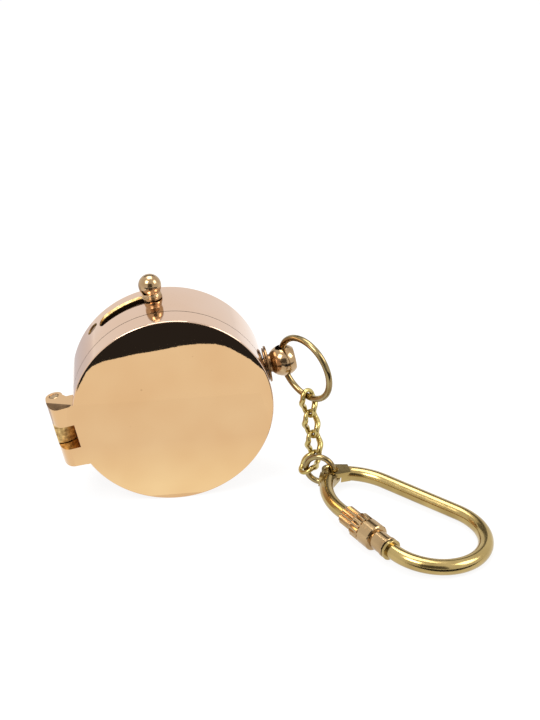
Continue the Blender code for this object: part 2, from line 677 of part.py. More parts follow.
def make_pendant_washer(body):
    """Washer between the case wall and the stud's flange."""
    outer, bore = WASHER_DIAMETER / 2, SHANK_DIAMETER / 2 + RUNNING_GAP
    bottom = CASE_RADIUS + REST_GAP
    top = bottom + WASHER_THICKNESS
    outline = [(outer, top), (outer, bottom), (bore, bottom), (bore, top)]
    washer = turned("pendant_washer", outline, SMALL_STEPS, closed=True)
    return as_part(washer, radial(0.0, 0.0), body, BRASS)


def make_pendant_stud(body):
    """Drilled ball on a neck, with a flange and a shank through the wall."""
    ball, neck = PENDANT_BALL_DIAMETER / 2, PENDANT_NECK_DIAMETER / 2
    end, flange, shank = PENDANT_END_DIAMETER / 2, FLANGE_DIAMETER / 2, SHANK_DIAMETER / 2
    seat = CASE_RADIUS + WASHER_THICKNESS + 2 * REST_GAP
    high_end = atan2(sqrt(ball**2 - end**2), end)
    low_end = -atan2(sqrt(ball**2 - neck**2), neck)
    outline = arc((0.0, BALL_OUT), ball, high_end, low_end, BALL_STEPS)
    outline.insert(0, (0.0, outline[0][1]))
    outline += [(neck, seat + FLANGE_THICKNESS), (flange, seat + FLANGE_THICKNESS)]
    outline += [(flange, seat), (shank, seat), (shank, BORE_RADIUS), (0.0, BORE_RADIUS)]
    stud = turned("pendant_stud", outline, SMALL_STEPS)
    as_part(stud, radial(0.0, 0.0), body, BRASS)
    hole = rod("ring_hole", PENDANT_HOLE_DIAMETER / 2, PENDANT_BALL_DIAMETER, HOLE_STEPS)
    return cut(stud, hole, BOW_PIVOT)


def frame(origin, z_axis, x_axis):
    """A frame at a point, with its Z and X axes along two directions square to each other."""
    rows = (x_axis.normalized(), z_axis.cross(x_axis).normalized(), z_axis.normalized())
    made = Matrix(rows).transposed().to_4x4()
    made.translation = origin
    return made


def hooked(wire_point, tangent, up, swing, lean, spacing):
    """The frame of a link or ring hooked over a wire.

    It swings about the wire and leans about its own bend. Its origin is the middle of that bend,
    X runs along the bend and Z up its length.
    """
    level = (up - tangent * up.dot(tangent)).normalized()
    level.rotate(Matrix.Rotation(swing, 3, tangent))
    bend = tangent.cross(level).normalized()
    length = level.copy()
    length.rotate(Matrix.Rotation(lean, 3, bend))
    return frame(wire_point + level * spacing, length, bend)


def axis_of(matrix, letter):
    """A unit axis of a frame, in the world."""
    return matrix.to_3x3().col["XYZ".index(letter)].normalized()


def link_points():
    """Middle line of one curb link: a long loop whose lower end is twisted square to its top."""
    bend, low = LINK_WIDTH / 2, LINK_WIDTH / 2 - LINK_LENGTH
    loop = [(x, z - bend) for x, z in arc((0.0, 0.0), bend, 0.0, pi, LINK_STEPS)]
    down = [(-bend, -bend + (low + bend) * i / LINK_STEPS) for i in range(1, LINK_STEPS)]
    loop += down
    loop += [(x, z + low) for x, z in arc((0.0, 0.0), bend, pi, 2 * pi, LINK_STEPS)]
    loop += [(-x, z) for x, z in reversed(down)]
    points = []
    for across, height in loop:
        share = min(1.0, max(0.0, (-height - bend) / (-low - bend)))
        angle = -LINK_TWIST * share * share * (3 - 2 * share)
        points.append((across * cos(angle), across * sin(angle), height))
    return points


def link_end(matrix):
    """Middle and direction of the wire at a link's lower end."""
    tangent = matrix.to_3x3() @ Vector((cos(LINK_TWIST), -sin(LINK_TWIST), 0.0))
    return matrix @ Vector((0.0, 0.0, -LINK_LENGTH)), tangent.normalized()


def wire_at(middle, radius, angle):
    """Point and direction of a ring's wire. The ring lies in the XZ plane of its middle frame."""
    point = middle @ Vector((radius * cos(angle), 0.0, radius * sin(angle)))
    tangent = middle.to_3x3() @ Vector((-sin(angle), 0.0, cos(angle)))
    return point, tangent.normalized()


# The bow ring's joint frame has Z along the hole and X toward the middle of the ring
BOW_PIVOT = STAND @ at(BALL_OUT, 0.0, 0.0) @ turn(-BOW_SWING, "Y") @ turn(-pi / 2, "X")
BOW_MIDDLE = BOW_PIVOT @ at(BOW_RADIUS - BOW_SAG * BOW_SEAT_SHARE, 0.0, -BOW_DROP)


def chain_frames():
    """Frames of the four links and the jump ring, each hooked on the one before."""
    point, tangent = wire_at(BOW_MIDDLE, BOW_RADIUS, HOOK_ANGLE)
    up = Vector((0.0, 0.0, 1.0))
    spacing = BOW_WIRE / 2 + LINK_RADIUS + CHAIN_GAP
    frames = [hooked(point, tangent, up, FIRST_SWING, FIRST_LEAN, spacing)]
    bends = [(0.0, 0.0), (0.0, 0.0), (LAST_SWING, LAST_LEAN), (JUMP_SWING, JUMP_LEAN)]
    for i, (swing, lean) in enumerate(bends):
        point, tangent = link_end(frames[-1])
        up = axis_of(frames[-1], "Z")
        next_radius = LINK_RADIUS if i < len(bends) - 1 else JUMP_WIRE / 2
        spacing = LINK_RADIUS + next_radius + CHAIN_GAP
        frames.append(hooked(point, tangent, up, swing, lean, spacing))
    return frames


def shackle_frame(middle):
    """Frame of the shackle: the eye on the jump ring, X to the wide end, Y to the long arm."""
    normal = axis_of(middle, "Y")
    across = normal.cross(Vector((0.0, 0.0, 1.0))).normalized()
    across = across if across.x > 0 else -across
    eye = middle.translation + across * EYE_FROM_RING
    flat = at(eye.x, eye.y, eye.z - EYE_BELOW_RING) @ turn(SHACKLE_TURN, "Z")
    return flat @ turn(SHACKLE_TILT, "Y") @ turn(-SHACKLE_ROLL, "X")


def arm_line(angle, straight):
    """One arm's middle line from the eye to the wide end, on the +Y side."""
    start = Vector((EYE_TO_WIDE_END - WIDE_END_RADIUS * sin(angle), WIDE_END_RADIUS * cos(angle)))
    bend = start - straight * Vector((cos(angle), sin(angle)))
    inward = Vector((sin(angle), -cos(angle)))
    radius = bend.length_squared / (-2 * bend.dot(inward))
    centre = bend + radius * inward
    first, last = atan2(-centre.y, -centre.x), atan2(-inward.y, -inward.x)
    return arc(centre, radius, first, last, ARM_STEPS) + [tuple(start)]


def along_gate(distance):
    """A frame on the gate's straight line, at a distance from the wide end, Z toward it."""
    x = EYE_TO_WIDE_END - WIDE_END_RADIUS * sin(GATE_ANGLE) - distance * cos(GATE_ANGLE)
    y = -WIDE_END_RADIUS * cos(GATE_ANGLE) + distance * sin(GATE_ANGLE)
    return SHACKLE @ at(x, y, 0.0) @ turn(-GATE_ANGLE, "Z") @ turn(pi / 2, "Y")


def shape_tang(part, side):
    """Give an arm its round half-thick tang and eye. Side is 1 for the upper half, -1 below."""
    disc = rod(f"{part.name}_disc", TANG_DIAMETER / 2, TANG_THICKNESS, SMALL_STEPS)
    join(part, disc, SHACKLE)
    gap = rod(f"{part.name}_gap", SHOULDER_FROM_EYE, TANG_THICKNESS, SMALL_STEPS)
    cut(part, gap, SHACKLE @ at(0.0, 0.0, side * (TANG_GAP - TANG_THICKNESS) / 2))
    eye = rod(f"{part.name}_eye", EYE_DIAMETER / 2, TANG_THICKNESS + OVERRUN, HOLE_STEPS)
    return cut(part, eye, SHACKLE)


def make_bow_ring(body):
    """Plain round ring through the pendant's hole."""
    bow = ring("bow_ring", BOW_RADIUS, BOW_WIRE / 2, RING_STEPS)
    return as_part(bow, BOW_MIDDLE @ at(-BOW_RADIUS, 0.0, 0.0) @ turn(-pi / 2, "Y"), body, BRASS)


def make_chain_link(number, matrix, body):
    """Twisted curb link."""
    link = wire(f"chain_link_{number}", link_points(), LINK_RADIUS, closed=True)
    return as_part(link, matrix, body, YELLOW_BRASS)


def make_jump_ring(matrix, body):
    """Round ring between the chain and the shackle."""
    jump = ring("jump_ring", JUMP_RADIUS, JUMP_WIRE / 2, RING_STEPS)
    return as_part(jump, matrix, body, YELLOW_BRASS)


def make_long_arm(body):
    """Rod from the upper tang round the wide end to the boss that the sleeve meets."""
    line = arm_line(LONG_ANGLE, LONG_STRAIGHT)
    ends = (pi / 2 + LONG_ANGLE, -pi / 2 - GATE_ANGLE)
    line += arc((EYE_TO_WIDE_END, 0.0), WIDE_END_RADIUS, *ends, WIDE_END_STEPS)[1:]
    points = [(x, y, 0.0) for x, y in line]
    middle = along_gate(BOSS_LIP - BOSS_LENGTH / 2)
    points.append(SHACKLE.inverted() @ middle.translation)
    arm = wire("shackle_long_arm", points, ROD_RADIUS)
    as_part(arm, SHACKLE, body, YELLOW_BRASS)
    boss = rod("boss_blank", BOSS_DIAMETER / 2, BOSS_LENGTH, SMALL_STEPS)
    join(arm, boss, middle)
    return shape_tang(arm, 1)


def make_short_arm(body):
    """Gate arm from the lower tang to the boss."""
    points = [(x, -y, 0.0) for x, y in arm_line(GATE_ANGLE, GATE_STRAIGHT)[:-1]]
    tip = along_gate(BOSS_LIP + SLEEVE_FROM_BOSS)
    points.append(SHACKLE.inverted() @ tip.translation)
    arm = wire("shackle_short_arm", points, GATE_ROD_DIAMETER / 2)
    as_part(arm, SHACKLE, body, YELLOW_BRASS)
    return shape_tang(arm, -1)


def make_screw_sleeve(body):
    """Stepped sleeve on the gate arm: a collar, a thick body and a neck against the boss."""
    bore = GATE_ROD_DIAMETER / 2 + RUNNING_GAP
    collar, thick, neck = SLEEVE_COLLAR_DIAMETER / 2, SLEEVE_BODY_DIAMETER / 2, SLEEVE_NECK_DIAMETER / 2
    top, body_end = SLEEVE_LENGTH, SLEEVE_COLLAR_LENGTH + SLEEVE_BODY_LENGTH
    outline = [(bore, top), (neck, top), (neck, body_end), (thick, body_end)]
    outline += [(thick, SLEEVE_COLLAR_LENGTH), (collar, SLEEVE_COLLAR_LENGTH)]
    outline += [(collar, 0.0), (bore, 0.0)]
    sleeve = turned("screw_sleeve", outline, SMALL_STEPS, closed=True)
    start = along_gate(BOSS_LIP + SLEEVE_FROM_BOSS + SLEEVE_LENGTH)
    return as_part(sleeve, start, body, YELLOW_BRASS)


def settle(part):
    """Turn a part's modifiers into its mesh and shade it smooth between sharp edges."""
    graph = bpy.context.evaluated_depsgraph_get()
    mesh = bpy.data.meshes.new_from_object(part.evaluated_get(graph))
    part.modifiers.clear()
    part.data = mesh
    mesh.name = part.name
    mesh.shade_smooth()
    mesh.set_sharp_from_angle(angle=SHARP_EDGE)


CHAIN = chain_frames()
JUMP = CHAIN.pop()
SHACKLE = shackle_frame(JUMP @ at(0.0, 0.0, -JUMP_RADIUS))

case_body = pivot("case_body", STAND)
make_case(case_body)
make_pivot_post(case_body)
make_dial_plate(case_body)
make_degree_ring(case_body)
make_glass(case_body)
make_retaining_ring(case_body)
make_guide_screw(case_body)
make_pendant_washer(case_body)
make_pendant_stud(case_body)

lid_body = pivot("lid_pivot", HINGE @ at(PIN_OUT, PIN_LEVEL, 0.0), case_body)
make_lid(lid_body)
make_hinge_pin(lid_body)

needle_body = pivot("needle_pivot", STAND @ at(0.0, 0.0, POST_TIP), case_body)
make_needle(needle_body)
make_needle_cap(needle_body)

lock_body = pivot("lock_pivot", STAND @ at(0.0, 0.0, SLOT_LEVEL), case_body)
make_lock_arm(lock_body)
make_lever_knob(lock_body)

lifter_body = pivot("lifter_slide", STAND @ at(0.0, 0.0, LIFTER_BOTTOM), case_body)
make_needle_lifter(lifter_body)

bow_body = pivot("bow_pivot", BOW_PIVOT, case_body)
make_bow_ring(bow_body)

holder = bow_body
held_by = [wire_at(BOW_MIDDLE, BOW_RADIUS, HOOK_ANGLE)] + [link_end(link) for link in CHAIN]
for i, link in enumerate(CHAIN):
    if i in (0, 3):
        point, axis = held_by[i]
        other = axis_of(link, "X")
    else:
        point, axis = link.translation, axis_of(link, "X")
        other = axis_of(link, "Z")
    holder = pivot(f"link_{i + 1}_pivot", frame(point, axis, other), holder)
    make_chain_link(i + 1, link, holder)

jump_body = pivot("jump_pivot", frame(JUMP.translation, axis_of(JUMP, "X"), axis_of(JUMP, "Z")), holder)
make_jump_ring(JUMP, jump_body)

shackle_body = pivot("shackle_pivot", SHACKLE, jump_body)
make_long_arm(shackle_body)
gate_body = pivot("gate_pivot", SHACKLE, shackle_body)
make_short_arm(gate_body)
sleeve_body = pivot("sleeve_slide", along_gate(BOSS_LIP), gate_body)
make_screw_sleeve(sleeve_body)

bpy.context.view_layer.update()
for thing in list(PARTS.objects):
    if thing.type == "MESH":
        settle(thing)
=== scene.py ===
# %% [markdown]
# # A brass keychain compass
# The object is a small pocket compass in a turned brass case. It stands on its rim with the
# lid shut, and a short chain leads from its pendant to a shackle for keys.
# The packed model gives the frame: where each piece is and what it moves with. This lesson
# builds smooth, detailed pieces on that frame, gives them brass, and lights them. The box of
# the packed model is kept from the start, and printed at the end beside the finished pieces' box.

import json
from math import atan2, cos, hypot, pi, radians, sin, sqrt

import bpy
import numpy as np
from mathutils import Matrix, Vector


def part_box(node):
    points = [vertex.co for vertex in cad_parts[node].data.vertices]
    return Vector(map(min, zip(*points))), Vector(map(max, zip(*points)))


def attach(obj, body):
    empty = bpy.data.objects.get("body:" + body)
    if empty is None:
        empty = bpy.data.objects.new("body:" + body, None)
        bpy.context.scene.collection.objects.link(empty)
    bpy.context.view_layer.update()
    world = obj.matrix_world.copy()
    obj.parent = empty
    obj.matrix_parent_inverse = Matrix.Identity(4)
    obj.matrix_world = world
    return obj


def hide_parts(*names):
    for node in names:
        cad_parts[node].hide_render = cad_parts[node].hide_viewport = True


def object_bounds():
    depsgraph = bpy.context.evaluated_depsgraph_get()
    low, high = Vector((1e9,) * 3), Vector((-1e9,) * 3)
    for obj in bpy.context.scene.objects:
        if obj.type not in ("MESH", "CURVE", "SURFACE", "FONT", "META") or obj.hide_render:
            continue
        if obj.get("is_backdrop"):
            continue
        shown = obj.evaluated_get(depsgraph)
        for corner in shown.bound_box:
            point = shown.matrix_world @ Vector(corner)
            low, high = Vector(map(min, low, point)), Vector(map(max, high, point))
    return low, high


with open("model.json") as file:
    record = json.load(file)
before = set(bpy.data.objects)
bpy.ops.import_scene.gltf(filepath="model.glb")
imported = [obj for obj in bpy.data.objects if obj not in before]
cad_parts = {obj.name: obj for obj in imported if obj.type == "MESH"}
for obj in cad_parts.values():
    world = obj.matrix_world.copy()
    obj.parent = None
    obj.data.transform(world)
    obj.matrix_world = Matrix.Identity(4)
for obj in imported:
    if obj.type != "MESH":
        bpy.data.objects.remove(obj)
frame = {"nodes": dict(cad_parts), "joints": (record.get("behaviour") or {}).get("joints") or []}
CAD_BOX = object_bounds()
NODES = frame["nodes"]
JOINTS = {joint["name"]: joint for joint in frame["joints"]}
MM = 0.001


def in_mm(values):
    """Lengths in millimetres, rounded for printing."""
    return [round(value / MM, 2) for value in values]


print("nodes:", len(NODES), "joints:", len(JOINTS))
print("packed box:", [in_mm(corner) for corner in CAD_BOX])

# %% [markdown]
# ## Where things are
# Every round piece of the compass shares one axis, which is the needle's. The pendant and the
# hinge lie on a line through that axis, so the joints alone give a frame for the whole case:
# X toward the pendant, Z out of the lid. Working in that frame keeps the numbers plain, and
# one matrix puts a finished piece in its place.

# %% The compass frame
def basis(origin, z_axis, x_axis):
    """A frame at a point, from its Z axis and a direction near its X axis."""
    z = Vector(z_axis).normalized()
    x = Vector(x_axis)
    x = (x - z * x.dot(z)).normalized()
    made = Matrix((x, z.cross(x), z)).transposed().to_4x4()
    made.translation = origin
    return made


def at(x, y, z):
    """A move."""
    return Matrix.Translation((x, y, z))


def turn(angle, axis):
    """A turn about the axis of that letter."""
    return Matrix.Rotation(angle, 4, axis)


needle_axis = JOINTS["needle_turn"]
pendant_point = Vector(JOINTS["bow_swing"]["pos_m"])
axis_point = Vector(needle_axis["pos_m"])
axis_point.y = 0.0
COMPASS = basis(axis_point, needle_axis["axis"], pendant_point - axis_point)
print("compass axis at", in_mm(axis_point), "pendant at", in_mm(pendant_point))

# %% [markdown]
# Three levels along that axis set the case out: the lid's face, the case's back, and the seam
# where the two cups meet with a hair of air between them. They are read from the packed
# pieces' boxes, so they can't drift from the frame. The hinge gets a frame of its own, X away
# from the pendant, Y out of the lid and Z along the pin, because there its ears and its
# knuckle are flat outlines.

# %% The levels of the case, and the hinge frame
CASE_RADIUS = 22.5 * MM
SEAM = 0.2 * MM
FACE = -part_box("lid")[0].y
BACK = -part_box("case")[1].y
RIM = -BACK
LID_EDGE = RIM + SEAM
HINGE = COMPASS @ turn(pi, "Z") @ turn(pi / 2, "X")
to_hinge = COMPASS.inverted() @ HINGE
pin_point = HINGE.inverted() @ Vector(JOINTS["lid_hinge"]["pos_m"])
PIN_OUT = pin_point.x
PIN_LEVEL = pin_point.y
print("back, rim, face:", in_mm((BACK, RIM, FACE)), "pin:", in_mm((PIN_OUT, PIN_LEVEL)))

# %% [markdown]
# ## The lathe
# A lathe turns most of this object: a bar spins while a tool draws its outline. The same is
# done here by hand-modelling means. A circle is added, then extruded and resized from ring to
# ring, and its open ends are filled. Operators act on all that is selected, and the packed
# pieces come in selected, so each tool deselects first.

# %% Select nothing, and close a shape
MERGE = 0.002 * MM


def deselect():
    """Leaves nothing selected, so that the next operator acts on the new piece alone."""
    bpy.ops.object.select_all(action="DESELECT")


def close_up(made, name, weld):
    """Welds or fills the open ends in edit mode, and makes the faces point outwards."""
    bpy.ops.mesh.select_all(action="SELECT")
    if weld:
        bpy.ops.mesh.remove_doubles(threshold=MERGE)
    else:
        bpy.ops.mesh.fill_holes(sides=0)
    bpy.ops.mesh.select_all(action="SELECT")
    bpy.ops.mesh.normals_make_consistent(inside=False)
    bpy.ops.object.mode_set(mode="OBJECT")
    made.name = name
    return made


deselect()
print("selected:", len(bpy.context.selected_objects))

# %% [markdown]
# A turned shape is given as rings of a radius and a height, like the outline that the tool
# follows. Roundings are short arcs of such rings. With 192 segments the 45 mm rim stays smooth
# in a close view. A plain bar with a start and an end is the tool that drills and bores.

# %% Turn a shape
SEGMENTS = 192


def arc(centre, radius, start, end, steps):
    """Points along an arc, both ends included."""
    angles = [start + (end - start) * step / steps for step in range(steps + 1)]
    return [(centre[0] + radius * cos(a), centre[1] + radius * sin(a)) for a in angles]


def turned(name, rings, segments=SEGMENTS, closed=False):
    """Turns (radius, height) rings about Z, by extruding a circle from ring to ring."""
    deselect()
    radius, height = rings[0]
    bpy.ops.mesh.primitive_circle_add(vertices=segments, radius=radius, location=(0, 0, height))
    bpy.ops.object.mode_set(mode="EDIT")
    for next_radius, next_height in rings[1:] + (rings[:1] if closed else []):
        step = {"value": (0, 0, next_height - height)}
        bpy.ops.mesh.extrude_region_move(TRANSFORM_OT_translate=step)
        share = next_radius / radius
        bpy.ops.transform.resize(value=(share, share, 1))
        radius, height = next_radius, next_height
    return close_up(bpy.context.object, name, closed)


def bar(name, radius, start, end, segments=64):
    """A plain round bar along Z, for drilling and boring."""
    return turned(name, [(radius, start), (radius, end)], segments)


print("a quarter arc of 1 mm:", [in_mm(point) for point in arc((0, 0), MM, 0, pi / 2, 2)])

# %% [markdown]
# ## The lid
# The lid is a shallow turned cup whose face is a mirror. Its front edge is broken by a narrow
# rounding that catches the light as a thin line. A bevel modifier could round it too, but here
# the rounding is part of the turned outline, as it is on a lathe. It starts as a solid disc,
# because the hollow is cut later.

# %% Turn the lid
FACE_ROUNDING = 0.28 * MM
corner = (CASE_RADIUS - FACE_ROUNDING, FACE - FACE_ROUNDING)
rings = arc(corner, FACE_ROUNDING, pi / 2, 0.0, 5)
rings.append((CASE_RADIUS, LID_EDGE))
lid = turned("lid_shell", rings)
print("lid disc:", in_mm(lid.dimensions))

# %% [markdown]
# ## Flat outlines, and fitting them together
# The hinge's ears are sawn from thick plate and soldered on. A flat outline gives such a shape:
# a filled circle with as many corners as the outline has, each moved to its spot, then extruded.
# A Boolean modifier joins it to the cup or cuts with it, like solder or a saw. What repeats is
# modelled once and copied, each copy with its own mesh.

# %% Cut a flat shape
def flat(name, outline, thickness):
    """A flat outline in XY with a thickness centred on Z = 0."""
    deselect()
    bpy.ops.mesh.primitive_circle_add(vertices=len(outline), fill_type="NGON")
    made = bpy.context.object
    for corner, (x, y) in zip(made.data.vertices, outline):
        corner.co = (x, y, -thickness / 2)
    bpy.ops.object.mode_set(mode="EDIT")
    bpy.ops.mesh.select_all(action="SELECT")
    bpy.ops.mesh.extrude_region_move(TRANSFORM_OT_translate={"value": (0, 0, thickness)})
    return close_up(made, name, True)


def box_outline(low, high):
    """The outline of an upright rectangle between two corners."""
    return [low, (high[0], low[1]), high, (low[0], high[1])]


print("a 2 by 1 outline:", box_outline((0, 0), (2, 1)))

# %% [markdown]
# Joining and cutting use the same few steps, so one helper does both. It places the tool,
# applies the Boolean and takes the tool away. A copy keeps its own mesh, so that changing one
# ear can't change the other.

# %% Combine, copy and discard
HERE = Matrix.Identity(4)


def discard(piece):
    """Takes a helper shape away."""
    bpy.data.objects.remove(piece)


def copied(piece, name, place=HERE):
    """A copy of a piece with its own mesh, moved by a place."""
    made = piece.copy()
    made.data = piece.data.copy()
    made.name = name
    made.matrix_world = place @ piece.matrix_world
    bpy.context.scene.collection.objects.link(made)
    return made


def combine(piece, tool, operation, place=HERE):
    """Joins a tool's shape to a piece, or cuts it out, and takes the tool away."""
    tool.matrix_world = place @ tool.matrix_world
    step = piece.modifiers.new("shape", "BOOLEAN")
    step.operation = operation
    step.object = tool
    deselect()
    bpy.context.view_layer.objects.active = piece
    bpy.ops.object.modifier_apply(modifier=step.name)
    discard(tool)
    return piece


trial = copied(lid, "trial")
print("own mesh:", trial.data is not lid.data)
discard(trial)

# %% [markdown]
# Two ears grow out of the lid's face and curl over the hinge pin. From the side an ear is a
# quarter of an ellipse down to the pin, half a barrel round it, and a straight root in the lid.
# The middle knuckle later follows the same outer curve, so that curve is a helper.

# %% Join the hinge ears
HINGE_LENGTH = 15.3 * MM
KNUCKLE_LENGTH = 5.5 * MM
BARREL_RADIUS = 1.9 * MM
SIDE_GAP = 0.15 * MM
LEAF_CROWN = 1.8 * MM
LEAF_ROOT = 2.5 * MM
crown = CASE_RADIUS + LEAF_CROWN
reach = PIN_OUT + BARREL_RADIUS - crown
rise = FACE - PIN_LEVEL


def outer_curve(angle):
    """A point on the hinge's outer curve, from the face at 0 down to the pin's level."""
    return crown + reach * sin(angle), PIN_LEVEL + rise * cos(angle)


leaf = [outer_curve(pi / 2 * step / 24) for step in range(24)]
leaf += arc((PIN_OUT, PIN_LEVEL), BARREL_RADIUS, 0.0, -pi, 24)
leaf.append((CASE_RADIUS + SIDE_GAP, LID_EDGE))
leaf.append((CASE_RADIUS - LEAF_ROOT, LID_EDGE))
leaf.append((CASE_RADIUS - LEAF_ROOT, FACE))
ear_width = (HINGE_LENGTH - KNUCKLE_LENGTH) / 2
ear_out = (KNUCKLE_LENGTH + ear_width) / 2
ear = flat("ear", leaf, ear_width)
for side in (-1, 1):
    combine(lid, copied(ear, "ear_copy"), "UNION", to_hinge @ at(0.0, 0.0, side * ear_out))
discard(ear)
print("ears:", in_mm((ear_width, reach, rise)), "lid now:", in_mm(lid.dimensions))

# %% [markdown]
# A file has run over the outer ends of the ears and left a dull slanting facet. It shows as a
# dark crescent above the pin, where it reflects the dark room, and its darker tint adds painted
# shade. A block set at the file's angle is cut away from each end. It reaches a little past the
# work, as every cutting shape here does, because faces that only touch make a Boolean fail.

# %% File the ends of the ears
OVERRUN = 1.0 * MM
FILED_FROM = PIN_LEVEL + 2.1 * MM
FILED_TURN = radians(33)
FILED_ANGLE = radians(5)
FILED_LENGTH = 7.2 * MM
outline = box_outline((-FILED_LENGTH, 0.0), (OVERRUN, FILED_LENGTH))
block = flat("block", outline, 2 * OVERRUN)
for side in (-1, 1):
    filed = at(PIN_OUT + BARREL_RADIUS, FILED_FROM, side * HINGE_LENGTH / 2)
    filed = filed @ turn(-FILED_TURN, "Z") @ turn(-side * FILED_ANGLE, "X")
    filed = filed @ at(0.0, 0.0, side * OVERRUN)
    combine(lid, copied(block, "block_copy"), "DIFFERENCE", to_hinge @ filed)
discard(block)
print("faces after filing:", len(lid.data.polygons))

# %% [markdown]
# The lid is hollow, with a 1 mm wall. The hollow is cut after the ears are joined, so that
# their roots don't show inside. It could be inset and extruded instead, but the ears have
# already divided the rim.

# %% Cut the lid's hollow
FACE_WALL = 1.0 * MM
LID_WALL = 1.0 * MM
hollow_radius = CASE_RADIUS - LID_WALL
hollow_top = FACE - FACE_WALL
combine(lid, bar("hollow", hollow_radius, hollow_top, LID_EDGE - OVERRUN, SEGMENTS), "DIFFERENCE")
print("hollow:", in_mm((hollow_radius, hollow_top - LID_EDGE)))

# %% [markdown]
# The case's knuckle turns between the ears, in a notch sawn through the lid's edge, and the
# pin runs through a bore that is a little wider than the pin.

# %% Cut the knuckle's notch and the pin's bore
NOTCH_INTO_WALL = 0.5 * MM
PIN_RADIUS = 1.1 * MM
RUNNING_GAP = 0.1 * MM
notch_low = (CASE_RADIUS - NOTCH_INTO_WALL, LID_EDGE - OVERRUN)
notch_high = (PIN_OUT + BARREL_RADIUS + OVERRUN, FACE + OVERRUN)
notch_width = KNUCKLE_LENGTH + 2 * SIDE_GAP
notch = flat("notch", box_outline(notch_low, notch_high), notch_width)
combine(lid, notch, "DIFFERENCE", to_hinge)
PIN_PLACE = at(PIN_OUT, PIN_LEVEL, 0.0)
half_pin = HINGE_LENGTH / 2 + OVERRUN
bore = bar("bore", PIN_RADIUS + RUNNING_GAP / 2, -half_pin, half_pin, 48)
combine(lid, bore, "DIFFERENCE", to_hinge @ PIN_PLACE)
print("notch:", in_mm((notch_width,)), "faces:", len(lid.data.polygons))

# %% [markdown]
# ## Into place
# A finished piece is moved to its place, and that move is applied, so that its object sits at
# the origin and its place is in its mesh. Then it is shaded smooth except at sharp edges. The
# wide flat face needs one thing more: smooth shading would bend its edge normals and with them
# the mirror image, so a Weighted Normal modifier lets the large faces win.

# %% Put the lid in its place
def settle(piece, place, body, node=None, smooth=radians(30)):
    """Puts a finished piece in its place, ties it to what it moves with, and hides its packed
    node.
    """
    deselect()
    piece.matrix_world = place @ piece.matrix_world
    piece.select_set(True)
    bpy.context.view_layer.objects.active = piece
    bpy.ops.object.transform_apply(location=True, rotation=True, scale=True)
    bpy.ops.object.shade_smooth_by_angle(angle=smooth)
    flatter = piece.modifiers.new("flatter", "WEIGHTED_NORMAL")
    flatter.keep_sharp = True
    bpy.ops.object.modifier_apply(modifier=flatter.name)
    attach(piece, body)
    if node:
        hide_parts(node)
    print(piece.name, len(piece.data.polygons), "faces")
    return piece


settle(lid, COMPASS, "lid", "lid")

# %% [markdown]
# ## Brass, as sums and products
# A finish is worked out from the point on the surface: clouds of tint, faint turned lines,
# small pits. Written as nodes that is a long list of links, so one small class wraps a socket
# and lets Python's own operators add the Math nodes. Any other node comes from one method.

# %% A socket that can be calculated with
class Field:
    """A value that varies over a surface."""

    def __init__(self, tree, socket=None):
        self.tree = tree
        self.socket = socket

    def node(self, kind, settings, values, output=0):
        """Adds a node: its settings first, then the values or links of its sockets."""
        made = self.tree.nodes.new(kind)
        for key, value in settings.items():
            setattr(made, key, value)
        for key, value in values.items():
            if isinstance(value, Field):
                self.tree.links.new(value.socket, made.inputs[key])
            else:
                made.inputs[key].default_value = value
        return Field(self.tree, made.outputs[output])

    def math(self, operation, first, second):
        """A Math node."""
        return self.node("ShaderNodeMath", {"operation": operation}, {0: first, 1: second})

    def __add__(self, other):
        return self.math("ADD", self, other)

    __radd__ = __add__

    def __mul__(self, other):
        return self.math("MULTIPLY", self, other)

    __rmul__ = __mul__

    def __sub__(self, other):
        return self.math("SUBTRACT", self, other)

    def __rsub__(self, other):
        return self.math("SUBTRACT", other, self)

    def above(self, level, blur):
        """1 where the value is over a level and 0 under it, with a soft step between."""
        limits = {"From Min": level - blur, "From Max": level + blur}
        return self.node("ShaderNodeMapRange", {}, {"Value": self, **limits})

    def mix(self, low, high):
        """One colour where the value is 0 and another where it is 1."""
        return self.node("ShaderNodeMix", {"data_type": "RGBA"}, {0: self, 6: low, 7: high}, 2)


print("operators:", [name for name in vars(Field) if name.startswith("__r")])

# %% [markdown]
# Every finish starts alike: a new material, its shader, and the place on the surface in the
# object's own coordinates, so that no pattern slides when the piece moves. Colours are written
# as they look on a screen, from 0 to 255, and turned into the linear values that shaders use.

# %% Start a material, and link what varies
def opened(name):
    """A new material, its shader, and the place on the surface in the object's coordinates."""
    material = bpy.data.materials.new(name)
    material.use_nodes = True
    tree = material.node_tree
    place = Field(tree).node("ShaderNodeTexCoord", {}, {}, "Object")
    return material, tree.nodes["Principled BSDF"], place


def link(field, shader, name):
    """Feeds a shader's socket with a value that varies."""
    field.tree.links.new(field.socket, shader.inputs[name])


def colour(red, green, blue):
    """An RGBA colour from sRGB values of 0 to 255."""
    shares = [value / 255 for value in (red, green, blue)]
    linear = [s / 12.92 if s <= 0.04045 else ((s + 0.055) / 1.055) ** 2.4 for s in shares]
    return (*linear, 1.0)


print("middle grey:", [round(value, 3) for value in colour(188, 188, 188)])

# %% [markdown]
# Three patterns make most of the brass. Soft noise gives clouds and smears. A noise read along
# one direction alone gives the fine uneven lines that a lathe tool leaves. The distance from
# the compass axis tells the outside from the inside, where painted shade darkens the hollows.

# %% Patterns
def noise(place, scale, detail=2.0):
    """Soft noise from 0 to 1 whose size is 1 / scale metres."""
    values = {"Vector": place, "Scale": scale, "Detail": detail}
    return place.node("ShaderNodeTexNoise", {}, values)


def along(place, direction):
    """The distance along a direction."""
    settings = {"operation": "DOT_PRODUCT"}
    return place.node("ShaderNodeVectorMath", settings, {0: place, 1: direction}, "Value")


